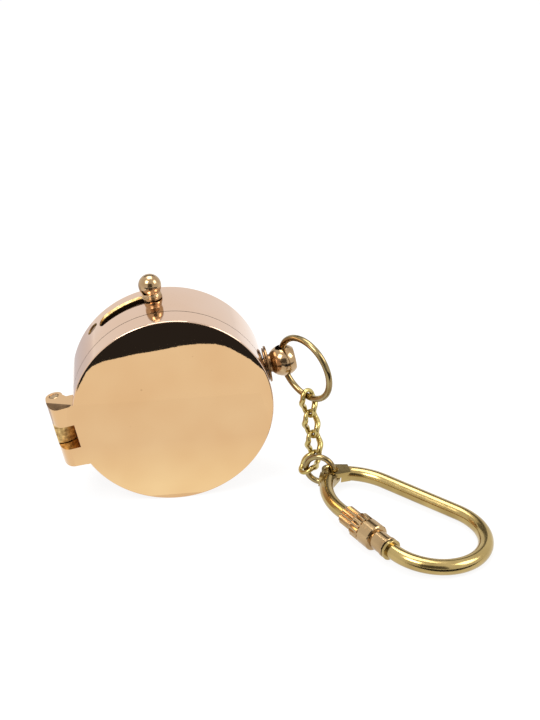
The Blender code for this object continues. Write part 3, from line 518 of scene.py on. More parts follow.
def lathe_lines(place, direction, pitch):
    """Fine uneven lines square to a direction."""
    level = along(place, direction) * (1 / pitch)
    settings = {"noise_dimensions": "1D"}
    return place.node("ShaderNodeTexNoise", settings, {"W": level, "Scale": 1.0})


def from_axis(place):
    """The distance from the compass axis, which runs along Y."""
    settings = {"operation": "SUBTRACT"}
    offset = place.node("ShaderNodeVectorMath", settings, {0: place, 1: tuple(axis_point)})
    settings = {"operation": "MULTIPLY"}
    across = place.node("ShaderNodeVectorMath", settings, {0: offset, 1: (1.0, 0.0, 1.0)})
    settings = {"operation": "LENGTH"}
    return place.node("ShaderNodeVectorMath", settings, {0: across}, "Value")


OUTWARD = tuple(COMPASS.to_3x3().col[2])
print("lathe lines lie square to", [round(share, 3) for share in OUTWARD])

# %% [markdown]
# ## The brass finishes
# The same alloy looks different by how it was worked, so one recipe takes a bright and a deep
# tint, a roughness, and the size of its clouds. Lathe lines, pits and painted shade toward the
# axis are options. An image texture would show real brass at once, but a recipe has no seams,
# fits any shape, and bakes at any size.

# %% The recipe for brass
# Near-black painted shade for the inside of the milled slot and the knuckle's hollows.
SHADE_INSIDE = colour(46, 32, 20)
PIT = colour(120, 84, 40)
PIT_DEPTH = 4.0
PIT_STAIN = 0.35
SOFT_EDGE = 0.15 * MM
BUMP = 0.35
DEPTH = 0.004 * MM
CLOUDS = 70.0


def brass(name, bright, deep, rough, cloud=CLOUDS, lines=None, depth=DEPTH, pits=0.0, shaded_within=0.0):
    """Brass that clouds from a bright to a deep tint, with optional lathe lines, pits and painted
    shade.

    Clouds and pits are given per metre, and lines are a direction and a pitch. Painted shade
    darkens it nearer the compass axis than the distance given for it, where hollows lie in shadow.
    """
    material, shader, place = opened(name)
    tint = noise(place, cloud).above(0.5, 0.22).mix(bright, deep)
    roughness = noise(place, 6 * cloud, 4.0) * (0.6 * rough) + 0.7 * rough
    height = noise(place, 30 * cloud, 3.0) * 0.25
    if lines:
        turned_lines = lathe_lines(place, *lines)
        height = height + turned_lines
        roughness = roughness + turned_lines * (0.3 * rough)
    # Painted shade: near black nearer the axis than the given distance, where hollows lie in
    # shadow.
    if shaded_within:
        tint = from_axis(place).above(shaded_within, SOFT_EDGE).mix(SHADE_INSIDE, tint)
    if pits:
        cells = place.node("ShaderNodeTexVoronoi", {}, {"Vector": place, "Scale": pits})
        pit = 1 - cells.above(0.03, 0.02)
        height = height - pit * PIT_DEPTH
        tint = (pit * PIT_STAIN).mix(tint, PIT)
    bump = {"Height": height, "Strength": BUMP, "Distance": depth}
    link(tint, shader, "Base Color")
    link(roughness, shader, "Roughness")
    link(place.node("ShaderNodeBump", {}, bump), shader, "Normal")
    shader.inputs["Metallic"].default_value = 1.0
    return material


print("a cloud is about", round(1 / (CLOUDS * MM)), "mm across")

# %% [markdown]
# The lid has three of these finishes. Its face was buffed to a mirror and has soft clouds and a
# few faint pits. Its wall came off the lathe and keeps fine lines. The filed ends of the ears
# were never polished, and their darker tint is painted shade for the dark crescent they reflect.

# %% The lid's three finishes
def dress(piece, material):
    """Gives a piece its finish."""
    piece.data.materials.clear()
    piece.data.materials.append(material)
    return piece


FACE_BRASS = brass("buffed_brass", colour(219, 182, 136), colour(213, 172, 125), 0.015, pits=160.0)
LATHE_PITCH = 0.12 * MM
WALL_BRASS = brass(
    "wall_brass",
    colour(222, 194, 174),
    colour(218, 180, 148),
    0.05,
    cloud=40.0,
    lines=(OUTWARD, LATHE_PITCH),
)
# Aged brass for the screw head, the washer and the flange. On the ears' filed ends its darker tint
# is painted shade.
AGED_AND_SHADED_BRASS = brass("aged_and_shaded_brass", colour(166, 130, 90), colour(112, 82, 54), 0.3, cloud=500.0)
dress(lid, FACE_BRASS)
lid.data.materials.append(WALL_BRASS)
lid.data.materials.append(AGED_AND_SHADED_BRASS)
print("lid finishes:", [material.name for material in lid.data.materials])

# %% [markdown]
# The faces of the wall and of the filed ends are picked by their place and normal, as one
# would select them by eye. Faces that point neither forward nor back, at the outer radius, are
# the wall. Faces that lean a little out of the hinge's end are the filed ones.

# %% Say which faces are wall and which are filed
to_local = COMPASS.inverted()
from_hinge = HINGE.to_3x3().inverted()


def tally(piece):
    """How many faces have each of a piece's finishes."""
    return np.bincount([face.material_index for face in piece.data.polygons]).tolist()


FACES_FRONT = 0.97
FACES_END = 0.98
for face in lid.data.polygons:
    centre = to_local @ face.center
    normal = to_local.to_3x3() @ face.normal
    lean = from_hinge @ face.normal
    if abs(normal.z) < FACES_FRONT and abs(centre.xy.length - CASE_RADIUS) < FACE_ROUNDING:
        face.material_index = 1
    # The filed faces take the darker tint as painted shade.
    if abs(lean.z) > FACES_END and lean.y > sin(FILED_ANGLE) / 2:
        face.material_index = 2
print("lid faces by finish:", tally(lid))

# %% [markdown]
# ## The case
# The case is a deeper cup. Its bore steps in to a ledge that carries the dial, and its back
# edge has a larger rounding than the lid's. The whole inside is turned in the same go as the
# outside, since nothing is joined across it, and the floor's middle is filled.

# %% Turn the case
FLOOR = BACK + 1.2 * MM
LEDGE = RIM - 5.55 * MM
BORE_RADIUS = CASE_RADIUS - 1.0 * MM
CAVITY_RADIUS = CASE_RADIUS - 1.6 * MM
BACK_ROUNDING = 0.8 * MM
rings = [(CAVITY_RADIUS, FLOOR), (CAVITY_RADIUS, LEDGE), (BORE_RADIUS, LEDGE)]
rings += [(BORE_RADIUS, RIM), (CASE_RADIUS, RIM)]
corner = (CASE_RADIUS - BACK_ROUNDING, BACK + BACK_ROUNDING)
rings += arc(corner, BACK_ROUNDING, 0.0, -pi / 2, 8)
case = turned("case_shell", rings)
print("case:", in_mm(case.dimensions))

# %% [markdown]
# The middle knuckle of the hinge stands on the case's wall. Outside it is flush with the ears,
# and its front swells as far as the opening lid allows, as a cast lug does. It is one flat
# outline again: the barrel round the pin, a piece of the hinge's outer curve, and the swell.

# %% Join the knuckle and bore it
WEB_ROOT = 0.7 * MM
SWELL = 3.2 * MM
root = CASE_RADIUS - WEB_ROOT
knuckle = [(root, PIN_LEVEL - BARREL_RADIUS)]
knuckle += arc((PIN_OUT, PIN_LEVEL), BARREL_RADIUS, -pi / 2, 0.0, 12)
knuckle += [outer_curve(radians(90 - step)) for step in range(3, 25, 3)]
knuckle += arc((PIN_OUT, PIN_LEVEL), SWELL, radians(63), radians(140), 16)
knuckle.append((root, RIM - 0.25 * MM))
combine(case, flat("knuckle", knuckle, KNUCKLE_LENGTH), "UNION", to_hinge)
bore = bar("bore", PIN_RADIUS + RUNNING_GAP, -half_pin, half_pin, 48)
combine(case, bore, "DIFFERENCE", to_hinge @ PIN_PLACE)
print("case with its knuckle:", in_mm(case.dimensions))

# %% [markdown]
# ## Spokes
# The knob, the guide screw and the pendant stick out of the wall like spokes. The frame of a
# spoke stands on the compass axis with its Z pointing out through the piece. Such a piece is
# turned about its own Z, at its true distance from the axis, and its hole is bored from the
# same frame.

# %% Directions round the case
def middle_of(node):
    """The middle of a node's corners, which lies on the axis of a turned piece."""
    corners = [corner.co for corner in NODES[node].data.vertices]
    return sum(corners, Vector()) / len(corners)


def spoke(node):
    """A frame on the compass axis, level with a node, whose Z points out through it."""
    middle = to_local @ middle_of(node)
    angle = atan2(middle.y, middle.x)
    return COMPASS @ at(0.0, 0.0, middle.z) @ turn(angle, "Z") @ turn(pi / 2, "Y")


KNOB = spoke("lever_knob")
GUIDE = spoke("guide_screw")
PENDANT = COMPASS @ turn(pi / 2, "Y")
print("knob level:", in_mm((to_local @ KNOB.translation).xyz))

# %% [markdown]
# ## The slot
# The knob of the lock lever slides in a slot in the case's wall. A milling cutter makes such a
# slot with one straight push, so the shape that cuts it here is one rounded bar, square to the
# slot's middle, and long enough for the knob's whole travel.

# %% Cut the lever's slot
SLOT_WIDTH = 4.3 * MM
LOCK_TRAVEL = radians(29)
half_slot = SLOT_WIDTH / 2
half_travel = CASE_RADIUS * sin(LOCK_TRAVEL / 2)
stadium = arc((0.0, half_travel), half_slot, 0.0, pi, 32)
stadium += arc((0.0, -half_travel), half_slot, pi, 2 * pi, 32)
half_open = to_local @ KNOB @ turn(-LOCK_TRAVEL / 2, "X") @ at(0.0, 0.0, CASE_RADIUS)
combine(case, flat("slot", stadium, CASE_RADIUS), "DIFFERENCE", half_open)
print("slot:", in_mm((2 * (half_travel + half_slot), SLOT_WIDTH)))

# %% [markdown]
# The slot's back edge is bevelled, which shows as a golden strip. The bevel runs round the
# wall, so its cutter is turned: a ring with a slanting side. It is cut down to the slot's own
# outline, a little widened, before it touches the case.

# %% Bevel the slot's back edge
SLOT_BEVEL = 0.4 * MM
level = half_open.translation.z
deep_side = CASE_RADIUS - SLOT_BEVEL
wide_side = CASE_RADIUS + OVERRUN
top = level + half_slot - MERGE
rings = [(deep_side, level - half_slot), (deep_side, top), (wide_side, top)]
rings.append((wide_side, level - half_slot - SLOT_BEVEL - OVERRUN))
bevelled = turned("bevelled", rings, closed=True)
longer = [(1.25 * x, y) for x, y in stadium]
combine(bevelled, flat("sector", longer, CASE_RADIUS), "INTERSECT", half_open)
combine(case, bevelled, "DIFFERENCE")
print("bevel:", in_mm((SLOT_BEVEL,)), "faces:", len(case.data.polygons))

# %% [markdown]
# Two screws go through the wall: the guide screw, whose round head sits in a hole of its own
# size, and the pendant's shank. Both holes are bored from the spokes' frames.

# %% Bore the screw holes
GUIDE_HEAD = 1.4 * MM
COUNTERBORE = GUIDE_HEAD + 0.2 * MM
SHANK_RADIUS = 1.5 * MM
SHANK_HOLE = SHANK_RADIUS + RUNNING_GAP
hole_start = CAVITY_RADIUS - OVERRUN
hole_end = CASE_RADIUS + OVERRUN
for radius, place in ((COUNTERBORE, GUIDE), (SHANK_HOLE, PENDANT)):
    combine(case, bar("hole", radius, hole_start, hole_end), "DIFFERENCE", to_local @ place)
settle(case, COMPASS, "case", "case")
dress(case, WALL_BRASS)
print("holes:", in_mm((COUNTERBORE, SHANK_HOLE)))

# %% [markdown]
# The knuckle and the milled slot were never polished, and no thumb reaches them. They get a
# rough, blotchy finish with painted shade that darkens it toward the inside, where they lie in
# shadow. Their faces are those within the swell round the pin, and those inside the thickness
# of the wall between the floor and the ledge.

# %% Leave the knuckle and the slot rough
ROUGH_SHADED_BRASS = brass(
    "rough_shaded_brass",
    colour(240, 208, 142),
    colour(128, 92, 48),
    0.5,
    cloud=1100.0,
    depth=0.06 * MM,
    # painted shade, more than 0.5 mm in from the outer wall, where the slot and hollows lie in
    # shadow
    shaded_within=CASE_RADIUS - 0.5 * MM,
)
case.data.materials.append(ROUGH_SHADED_BRASS)
ROUND_PIN = SWELL + 0.2 * MM
WALL_SKIN = 0.05 * MM
SLOT_TOP = LEDGE + 1.0 * MM
to_pin = (HINGE @ PIN_PLACE).inverted()
for face in case.data.polygons:
    near_pin = (to_pin @ face.center).xy.length < ROUND_PIN
    spot = to_local @ face.center
    in_wall = CAVITY_RADIUS + MERGE < spot.xy.length < CASE_RADIUS - WALL_SKIN
    if near_pin or in_wall and FLOOR < spot.z < SLOT_TOP:
        face.material_index = 1
print("case faces by finish:", tally(case))

# %% [markdown]
# ## The hinge pin
# The pin is a plain rod. Its ends are filed to a slight dome, which shows as a small circle on
# the hinge's end. Three rings make the dome, and the other end is the same, mirrored.

# %% Turn the hinge pin
KNOB_BRASS = brass("knob_brass", colour(198, 169, 131), colour(165, 134, 97), 0.16, cloud=300.0)
DOME = 0.12 * MM
pin_half = HINGE_LENGTH / 2
end = [(PIN_RADIUS - 3 * DOME, pin_half)]
end.append((PIN_RADIUS - DOME, pin_half - DOME / 3))
end.append((PIN_RADIUS, pin_half - DOME))
pin = turned("hinge_pin_rod", end + [(radius, -height) for radius, height in reversed(end)], 64)
settle(pin, HINGE @ PIN_PLACE, "lid", "hinge_pin")
dress(pin, KNOB_BRASS)
print("pin:", in_mm((2 * PIN_RADIUS, HINGE_LENGTH)))

# %% [markdown]
# ## The lever knob
# The knob is the one thing a thumb touches. It has a ball, a waist and two fine beads above a
# collar that covers the slot, and its stem goes through the slot to the lock arm inside. It is
# one turned outline from the top of the ball down to the stem.

# %% Turn the knob
BALL_RADIUS = 2.58 * MM
BALL_OUT = CASE_RADIUS + 3.25 * MM
WAIST = 2.1 * MM
BEAD_HALF = 0.13 * MM
COLLAR = 2.3 * MM
COLLAR_EDGE = 0.1 * MM
STEM = 1.6 * MM
STEM_END = CAVITY_RADIUS - 0.55 * MM
base = CASE_RADIUS + 0.13 * MM
upper_bead = base + 1.12 * MM
lower_bead = base + 0.82 * MM
lower_waist = WAIST + 0.02 * MM


def bead(radius, height):
    """A fine rounded bead on a turned piece, from its top to its bottom."""
    angles = (1.2, 0.6, 0.0, -0.6, -1.2)
    return [(radius + 0.7 * BEAD_HALF * cos(a), height + BEAD_HALF * sin(a)) for a in angles]


waist_angle = -atan2(sqrt(BALL_RADIUS**2 - WAIST**2), WAIST)
rings = arc((0.0, BALL_OUT), BALL_RADIUS, radians(86), waist_angle, 28)
rings.append((WAIST, base + 1.3 * MM))
rings += bead(WAIST, upper_bead) + bead(lower_waist, lower_bead)
rings += [(lower_waist, base + 0.62 * MM), (COLLAR, base + 0.5 * MM)]
rings += [(COLLAR, base + COLLAR_EDGE), (COLLAR - COLLAR_EDGE, base)]
rings += [(STEM, base), (STEM, STEM_END)]
knob = turned("lever_knob_turned", rings, 96)
settle(knob, KNOB, "lock", "lever_knob", smooth=radians(40))
dress(knob, KNOB_BRASS)
print("knob stands out by", in_mm((BALL_OUT + BALL_RADIUS - CASE_RADIUS,)))

# %% [markdown]
# ## The guide screw
# Beside the slot, a small screw guides the needle's lifter. Its head is sunk a little below the
# wall and has dulled, since nothing rubs it there, and its tip reaches in to the lifter's fork.

# %% Turn the guide screw
SINK = 0.25 * MM
TIP = 0.5 * MM
TIP_LENGTH = 2.0 * MM
head_top = CASE_RADIUS - SINK
head_side = 0.88 * GUIDE_HEAD
rings = [(0.4 * GUIDE_HEAD, head_top), (0.75 * GUIDE_HEAD, head_top - 0.05 * MM)]
rings += [(head_side, head_top - 0.15 * MM), (head_side, CAVITY_RADIUS)]
rings += [(TIP, CAVITY_RADIUS), (TIP, CAVITY_RADIUS - TIP_LENGTH)]
guide = turned("guide_screw_turned", rings, 64)
settle(guide, GUIDE, "case", "guide_screw")
dress(guide, AGED_AND_SHADED_BRASS)
print("screw head:", in_mm((2 * head_side,)))

# %% [markdown]
# ## The pendant
# The pendant is a ball on a stud, drilled across for the bow ring. A washer lies between the
# wall and the stud's flange, and the thin gaps between them show as dark lines. The washer's
# edges are broken, so that they catch a line of light.

# %% Turn the washer
SEAT_GAP = 0.15 * MM
WASHER_RADIUS = 3.9 * MM
WASHER = 0.3 * MM
BROKEN = 0.06 * MM
low = CASE_RADIUS + SEAT_GAP
high = low + WASHER
rings = [(SHANK_HOLE, high), (WASHER_RADIUS - BROKEN, high), (WASHER_RADIUS, high - BROKEN)]
rings += [(WASHER_RADIUS, low + BROKEN), (WASHER_RADIUS - BROKEN, low), (SHANK_HOLE, low)]
washer = turned("pendant_washer_turned", rings, 96, closed=True)
settle(washer, PENDANT, "case", "pendant_washer")
dress(washer, AGED_AND_SHADED_BRASS)
print("washer:", in_mm((2 * WASHER_RADIUS, WASHER)))

# %% [markdown]
# The stud is one turned piece: a drilled ball with a small flat end, a neck, a flange and a
# shank. Its outline starts at the ball's end and runs inwards to the shank.

# %% Turn the stud
DRILLED_BALL = 3.7 * MM
NECK = 2.15 * MM
FLANGE = 4.3 * MM
END_FLAT = 2.5 * MM
drilled_out = (pendant_point - axis_point).length
seat = high + SEAT_GAP
top_angle = atan2(sqrt(DRILLED_BALL**2 - END_FLAT**2), END_FLAT)
neck_angle = -atan2(sqrt(DRILLED_BALL**2 - NECK**2), NECK)
rings = [(0.6 * END_FLAT, drilled_out + DRILLED_BALL * sin(top_angle) + BROKEN)]
rings += arc((0.0, drilled_out), DRILLED_BALL, top_angle, neck_angle, 32)
rings += [(NECK, seat + 0.6 * MM), (FLANGE - 4 * BROKEN, seat + 0.5 * MM)]
rings += [(FLANGE - BROKEN, seat + 0.44 * MM), (FLANGE, seat + 0.3 * MM), (FLANGE, seat + BROKEN)]
rings += [(FLANGE - BROKEN, seat), (SHANK_RADIUS, seat), (SHANK_RADIUS, BORE_RADIUS)]
stud = turned("pendant_stud_turned", rings, 96)
print("ball at", in_mm((drilled_out,)), "from the axis")

# %% [markdown]
# The ball is drilled across, along the axis that the bow ring swings on, with a hole almost
# twice as wide as the ring's wire, so that the ring hangs freely. The flange was never buffed
# and keeps the aged finish.

# %% Drill the ball
HOLE = 1.4 * MM
BOW_PIVOT = basis(pendant_point, JOINTS["bow_swing"]["axis"], (1.0, 0.0, 0.0))
drill = bar("drill", HOLE, -2 * DRILLED_BALL, 2 * DRILLED_BALL)
combine(stud, drill, "DIFFERENCE", PENDANT.inverted() @ BOW_PIVOT)
settle(stud, PENDANT, "case", "pendant_stud")
dress(stud, KNOB_BRASS)
stud.data.materials.append(AGED_AND_SHADED_BRASS)
for face in stud.data.polygons:
    face.material_index = int((PENDANT.inverted() @ face.center).z < seat + 0.8 * MM)
print("stud faces by finish:", tally(stud))

# %% [markdown]
# ## The two rings
# The bow ring and the jump ring are round wire, bent round and butted: a saw cut shows where
# they close. The packed rings give their place: the middle of their corners is the centre, and
# the direction they spread least in is the axis. The bow ring's cut is kept inside the ball,
# and the jump ring's at its far side.

# %% Place a ring on its packed node
def corners_round(node):
    """A packed node's corners, as rows of numbers from their middle, and that middle."""
    corners = np.array([corner.co for corner in NODES[node].data.vertices])
    middle = corners.mean(axis=0)
    return corners - middle, Vector(middle)


def spreads(points):
    """The directions that points spread in, from the most to the least."""
    return np.linalg.svd(points, full_matrices=False)[2]


def ring_frame(node, closing):
    """The frame of a round ring, X toward where it closes, and its middle line's radius."""
    corners, middle = corners_round(node)
    axes = spreads(corners)
    flat_part = corners @ axes[:2].T
    radii = np.hypot(flat_part[:, 0], flat_part[:, 1])
    return basis(middle, axes[2], closing - middle), (radii.min() + radii.max()) / 2


for node in ("bow_ring", "jump_ring"):
    print(node, "middle line:", in_mm((ring_frame(node, pendant_point)[1],)))

# %% [markdown]
# A torus could be added ready-made. The ring is turned instead, from the wire's round section,
# because the lathe is at hand and the cut then starts from a shape whose seams are known.

# %% Turn and cut the rings
SAW_CUT = 0.08 * MM
BOW_WIRE = 0.75 * MM
JUMP_WIRE = 0.7 * MM
RING_BRASS = brass("ring_brass", colour(162, 144, 102), colour(134, 113, 74), 0.18, cloud=260.0)


def make_ring(name, node, wire_radius, closing, body):
    """A round ring of wire, butted where it closes."""
    place, radius = ring_frame(node, closing)
    section = arc((radius, 0.0), wire_radius, 0.0, 2 * pi, 32)[:-1]
    made = turned(name, section, 144, closed=True)
    outline = box_outline((0.0, -SAW_CUT / 2), (2 * radius, SAW_CUT / 2))
    combine(made, flat("cut", outline, 4 * wire_radius), "DIFFERENCE")
    settle(made, place, body, node)
    return dress(made, RING_BRASS)


far_side = Vector((0.0, 1.0, 0.0))
make_ring("bow_ring_wire", "bow_ring", BOW_WIRE, pendant_point, "bow")
make_ring("jump_ring_wire", "jump_ring", JUMP_WIRE, far_side, "jump")
print("wire:", in_mm((2 * BOW_WIRE, 2 * JUMP_WIRE)))

# %% [markdown]
# ## Wire and rods
# The chain and the shackle are bent from wire and rod. A curve with a round bevel does just
# that: it carries a round section along a path, and the radius at each point may swell. It is
# made a mesh at once, so that the other tools can work on it.

# %% Bend a rod
def rod(name, points, radius, closed=False, resolution=10, swell=None):
    """A round rod or wire along points, from a curve with a bevel. It can swell at points."""
    curve = bpy.data.curves.new(name, "CURVE")
    curve.dimensions = "3D"
    curve.bevel_depth = radius
    curve.bevel_resolution = resolution
    curve.use_fill_caps = not closed
    spline = curve.splines.new("POLY")
    spline.points.add(len(points) - 1)
    for point, spot in zip(spline.points, points):
        point.co = (*spot, 1.0)
        point.radius = swell(spot) if swell else 1.0
    spline.use_cyclic_u = closed
    made = bpy.data.objects.new(name, curve)
    bpy.context.scene.collection.objects.link(made)
    deselect()
    made.select_set(True)
    bpy.context.view_layer.objects.active = made
    bpy.ops.object.convert(target="MESH")
    made = bpy.context.object
    bpy.ops.object.mode_set(mode="EDIT")
    return close_up(made, name, True)


trial = rod("trial", [(0.0, 0.0, 0.0), (0.0, 0.0, 5 * MM)], MM)
print("a short rod:", in_mm(trial.dimensions))
discard(trial)

# %% [markdown]
# ## The chain
# Each link is a loop of wire whose lower end is twisted a quarter turn, so that the next link
# hangs square to it and the chain lies close like a cord. The loop's middle line is drawn flat
# first: a bend, a side, the other bend and back. Then each point is turned about the link's
# length by a share that grows smoothly from 0 at the upper bend to a quarter at the lower.

# %% Draw a twisted link
LINK_LENGTH = 6.34 * MM
LINK_WIDTH = 3.05 * MM
LINK_WIRE = 1.05 * MM
FLANK_SWELL = 0.38


def link_line(steps=12):
    """Middle line of a link that hangs down from the origin."""
    bend = LINK_WIDTH / 2
    low = bend - LINK_LENGTH
    loop = arc((0.0, -bend), bend, 0.0, pi, steps)
    sides = [(-bend, -bend + (low + bend) * step / steps) for step in range(1, steps)]
    loop += sides + arc((0.0, low), bend, pi, 2 * pi, steps)
    loop += [(-x, z) for x, z in reversed(sides)]
    line = []
    for across, height in loop[:-1]:
        share = min(1.0, max(0.0, (-height - bend) / (-low - bend)))
        angle = -pi / 2 * share * share * (3 - 2 * share)
        line.append((across * cos(angle), across * sin(angle), height))
    return line


def flank(spot):
    """How much thicker the wire is on its way down the flanks than round the bends."""
    return 1 + FLANK_SWELL * max(0.0, cos(pi * (spot[2] / LINK_LENGTH + 0.5))) ** 2


curb_link = rod("curb_link", link_line(), LINK_WIRE / 2, True, 6, flank)
print("link:", in_mm(curb_link.dimensions))

# %% [markdown]
# All four links are one shape, so they are copies of it. The packed links give their places:
# the length runs where their corners spread most, and the upper bend gives the way across. The
# chain is a yellower brass, tumbled rather than buffed, with clouds as small as its wire.

# %% Hang the links
CHAIN_BRASS = brass("chain_brass", colour(204, 186, 122), colour(170, 148, 88), 0.22, cloud=400.0)


def link_frame(node):
    """The frame of a packed link, with Z up its length and X across its upper bend."""
    corners, middle = corners_round(node)
    length = spreads(corners)[0]
    length = length * np.sign(length[2])
    heights = corners @ length
    upper = corners[heights > heights.max() - LINK_WIDTH / 2]
    upper = upper - upper.mean(axis=0)
    upper = upper - np.outer(upper @ length, length)
    top = middle + Vector(length) * (LINK_LENGTH / 2)
    return basis(top, length, spreads(upper)[0])


for number in range(1, 5):
    node = f"chain_link_{number}"
    hung = copied(curb_link, f"curb_link_{number}")
    settle(hung, link_frame(node), f"link_{number}", node, smooth=radians(60))
    dress(hung, CHAIN_BRASS)
discard(curb_link)
print("top of the chain:", in_mm(link_frame("chain_link_1").translation))

# %% [markdown]
# ## The shackle
# The shackle is two bent rods that meet in a halved eye, where both turn on the jump ring. The
# long arm runs round the wide end to a boss, and the short arm carries the sleeve. Both lie in
# one plane, and the joints give it: the gate turns about the eye, and the sleeve slides along
# the short arm's straight.

# %% The shackle's own frame
EYE_TO_WIDE_END = 31.1 * MM
WIDE_END = 0.3678 * EYE_TO_WIDE_END
LONG_ANGLE = radians(10.6)
LONG_STRAIGHT = 0.6238 * EYE_TO_WIDE_END
GATE_ANGLE = radians(7.3)
GATE_STRAIGHT = 0.5691 * EYE_TO_WIDE_END
eye_normal = -Vector(JOINTS["gate_swing"]["axis"])
along_straight = -Vector(JOINTS["sleeve_slide"]["axis"])
along_straight.rotate(Matrix.Rotation(GATE_ANGLE, 3, eye_normal))
SHACKLE = basis(Vector(JOINTS["gate_swing"]["pos_m"]), eye_normal, along_straight)
print("eye at", in_mm(SHACKLE.translation), "wide end:", in_mm((2 * WIDE_END,)))

# %% [markdown]
# An arm's middle line is a curve from the eye and a straight that runs on into the round wide
# end. The curve is the one arc that starts at the eye and meets the straight without a kink, so
# its radius is worked out from the straight and not guessed.

# %% The arms' middle lines
def arm_line(angle, straight, steps=24):
    """One arm's middle line from the eye to the wide end, on the +Y side."""
    start = Vector((EYE_TO_WIDE_END - WIDE_END * sin(angle), WIDE_END * cos(angle)))
    bend = start - straight * Vector((cos(angle), sin(angle)))
    inward = Vector((sin(angle), -cos(angle)))
    radius = bend.length_squared / (-2 * bend.dot(inward))
    centre = bend + radius * inward
    first = atan2(-centre.y, -centre.x)
    last = atan2(-inward.y, -inward.x)
    return arc(centre, radius, first, last, steps) + [tuple(start)]


def along_gate(distance):
    """A frame on the gate's straight, at a distance from the wide end, with Z toward it."""
    x = EYE_TO_WIDE_END - WIDE_END * sin(GATE_ANGLE) - distance * cos(GATE_ANGLE)
    y = -WIDE_END * cos(GATE_ANGLE) + distance * sin(GATE_ANGLE)
    return at(x, y, 0.0) @ turn(-GATE_ANGLE, "Z") @ turn(pi / 2, "Y")


print("gate straight starts at", in_mm(along_gate(0.0).translation))

# %% [markdown]
# At the eye each rod is milled flat, above and below, to a tang shaped like a teardrop. Half
# its thickness is then taken away, so that the two tangs lie on each other, and the eye is
# bored with a broken edge. The gap for the other tang is a wide disc, and so is the cutter that
# mills the outer side: its slanting edge leaves the sloping shoulder that a cutter leaves.

# %% Halve the eye
ROD_RADIUS = 1.7 * MM
TANG_RADIUS = 2.3 * MM
TANG = 3.5 * MM
TANG_GAP = 0.15 * MM
SHOULDER = 2.8 * MM
EYE_RADIUS = 1.5 * MM
EYE_BEVEL = 0.18 * MM
MILLED_RADIUS = 4.4 * MM
MILLED_LEVEL = 1.25 * MM


def halve(piece, side, line):
    """Gives an arm its half-thick tang, milled flat, and its eye with a broken edge."""
    heading = atan2(line[4][1], line[4][0])
    end = Vector((MILLED_RADIUS * cos(heading), MILLED_RADIUS * sin(heading)))
    across = Vector((-sin(heading), cos(heading))) * ROD_RADIUS
    outline = arc((0.0, 0.0), TANG_RADIUS, heading + 0.45 * pi, heading + 1.55 * pi, 40)
    outline += [tuple(end - across), tuple(end + across)]
    combine(piece, flat("tang", outline, 2 * MILLED_LEVEL), "UNION")
    gap = bar("gap", SHOULDER, -TANG / 2, TANG / 2, 96)
    combine(piece, gap, "DIFFERENCE", at(0.0, 0.0, side * (TANG_GAP - TANG) / 2))
    outer = side * MILLED_LEVEL
    past = side * OVERRUN
    milled = [(MILLED_RADIUS, outer), (MILLED_RADIUS + OVERRUN, outer + past)]
    combine(piece, turned("milled", milled, 96), "DIFFERENCE")
    eye = [(EYE_RADIUS, side * TANG_GAP / 2 - past), (EYE_RADIUS, outer - side * EYE_BEVEL)]
    eye += [(EYE_RADIUS + EYE_BEVEL, outer), (EYE_RADIUS + EYE_BEVEL, outer + past)]
    return combine(piece, turned("eye", eye, 64), "DIFFERENCE")


print("tang:", in_mm((2 * TANG_RADIUS, MILLED_LEVEL - TANG_GAP / 2)))

# %% [markdown]
# The long arm is the shackle's body. Its line goes on round the wide end and stops at a boss,
# a short thick collar that the sleeve screws on. The boss's edges are broken like those of the
# washer.

# %% Bend the long arm
SHACKLE_BRASS = brass(
    "shackle_brass", colour(188, 164, 108), colour(160, 136, 84), 0.18, cloud=160.0
)
BOSS_RADIUS = 2.35 * MM
BOSS_START = 0.3 * MM
BOSS_END = 1.0 * MM
boss_place = along_gate((BOSS_START + BOSS_END) / 2)
boss_half = (BOSS_END - BOSS_START) / 2
line = arm_line(LONG_ANGLE, LONG_STRAIGHT)
wide_start = pi / 2 + LONG_ANGLE
wide_end = -pi / 2 - GATE_ANGLE
line += arc((EYE_TO_WIDE_END, 0.0), WIDE_END, wide_start, wide_end, 96)[1:]
points = [(x, y, 0.0) for x, y in line]
points.append(boss_place.translation)
long_arm = rod("shackle_long_rod", points, ROD_RADIUS)
rings = [(ROD_RADIUS, -boss_half), (BOSS_RADIUS - BROKEN, -boss_half)]
rings.append((BOSS_RADIUS, BROKEN - boss_half))
rings += [(radius, -height) for radius, height in reversed(rings)]
combine(long_arm, turned("boss", rings, 96), "UNION", boss_place)
halve(long_arm, 1, line)
settle(long_arm, SHACKLE, "shackle", "shackle_long_arm")
dress(long_arm, SHACKLE_BRASS)
print("long arm:", in_mm(long_arm.dimensions))

# %% [markdown]
# The short arm is the gate. It is a slightly thinner rod, so that the sleeve slides over it, and
# it ends a hair before the boss. It is the mirror image of a short stretch of the long arm's
# line, with an angle of its own.

# %% Bend the short arm
GATE_ROD = 1.6 * MM
SLEEVE_GAP = 0.3 * MM
line = [(x, -y) for x, y in arm_line(GATE_ANGLE, GATE_STRAIGHT)[:-1]]
points = [(x, y, 0.0) for x, y in line]
points.append(along_gate(BOSS_END + SLEEVE_GAP).translation)
short_arm = rod("shackle_short_rod", points, GATE_ROD)
halve(short_arm, -1, line)
settle(short_arm, SHACKLE, "gate", "shackle_short_arm")
dress(short_arm, SHACKLE_BRASS)
print("short arm:", in_mm(short_arm.dimensions))

# %% [markdown]
# ## The sleeve
# The sleeve locks the gate by screwing on to the boss. It has a collar, a thick body and a neck,
# and is turned first, with many segments, because its grooves need corners to bend. The rings
# run from the neck's end, which meets the boss, to the collar and back through the bore.

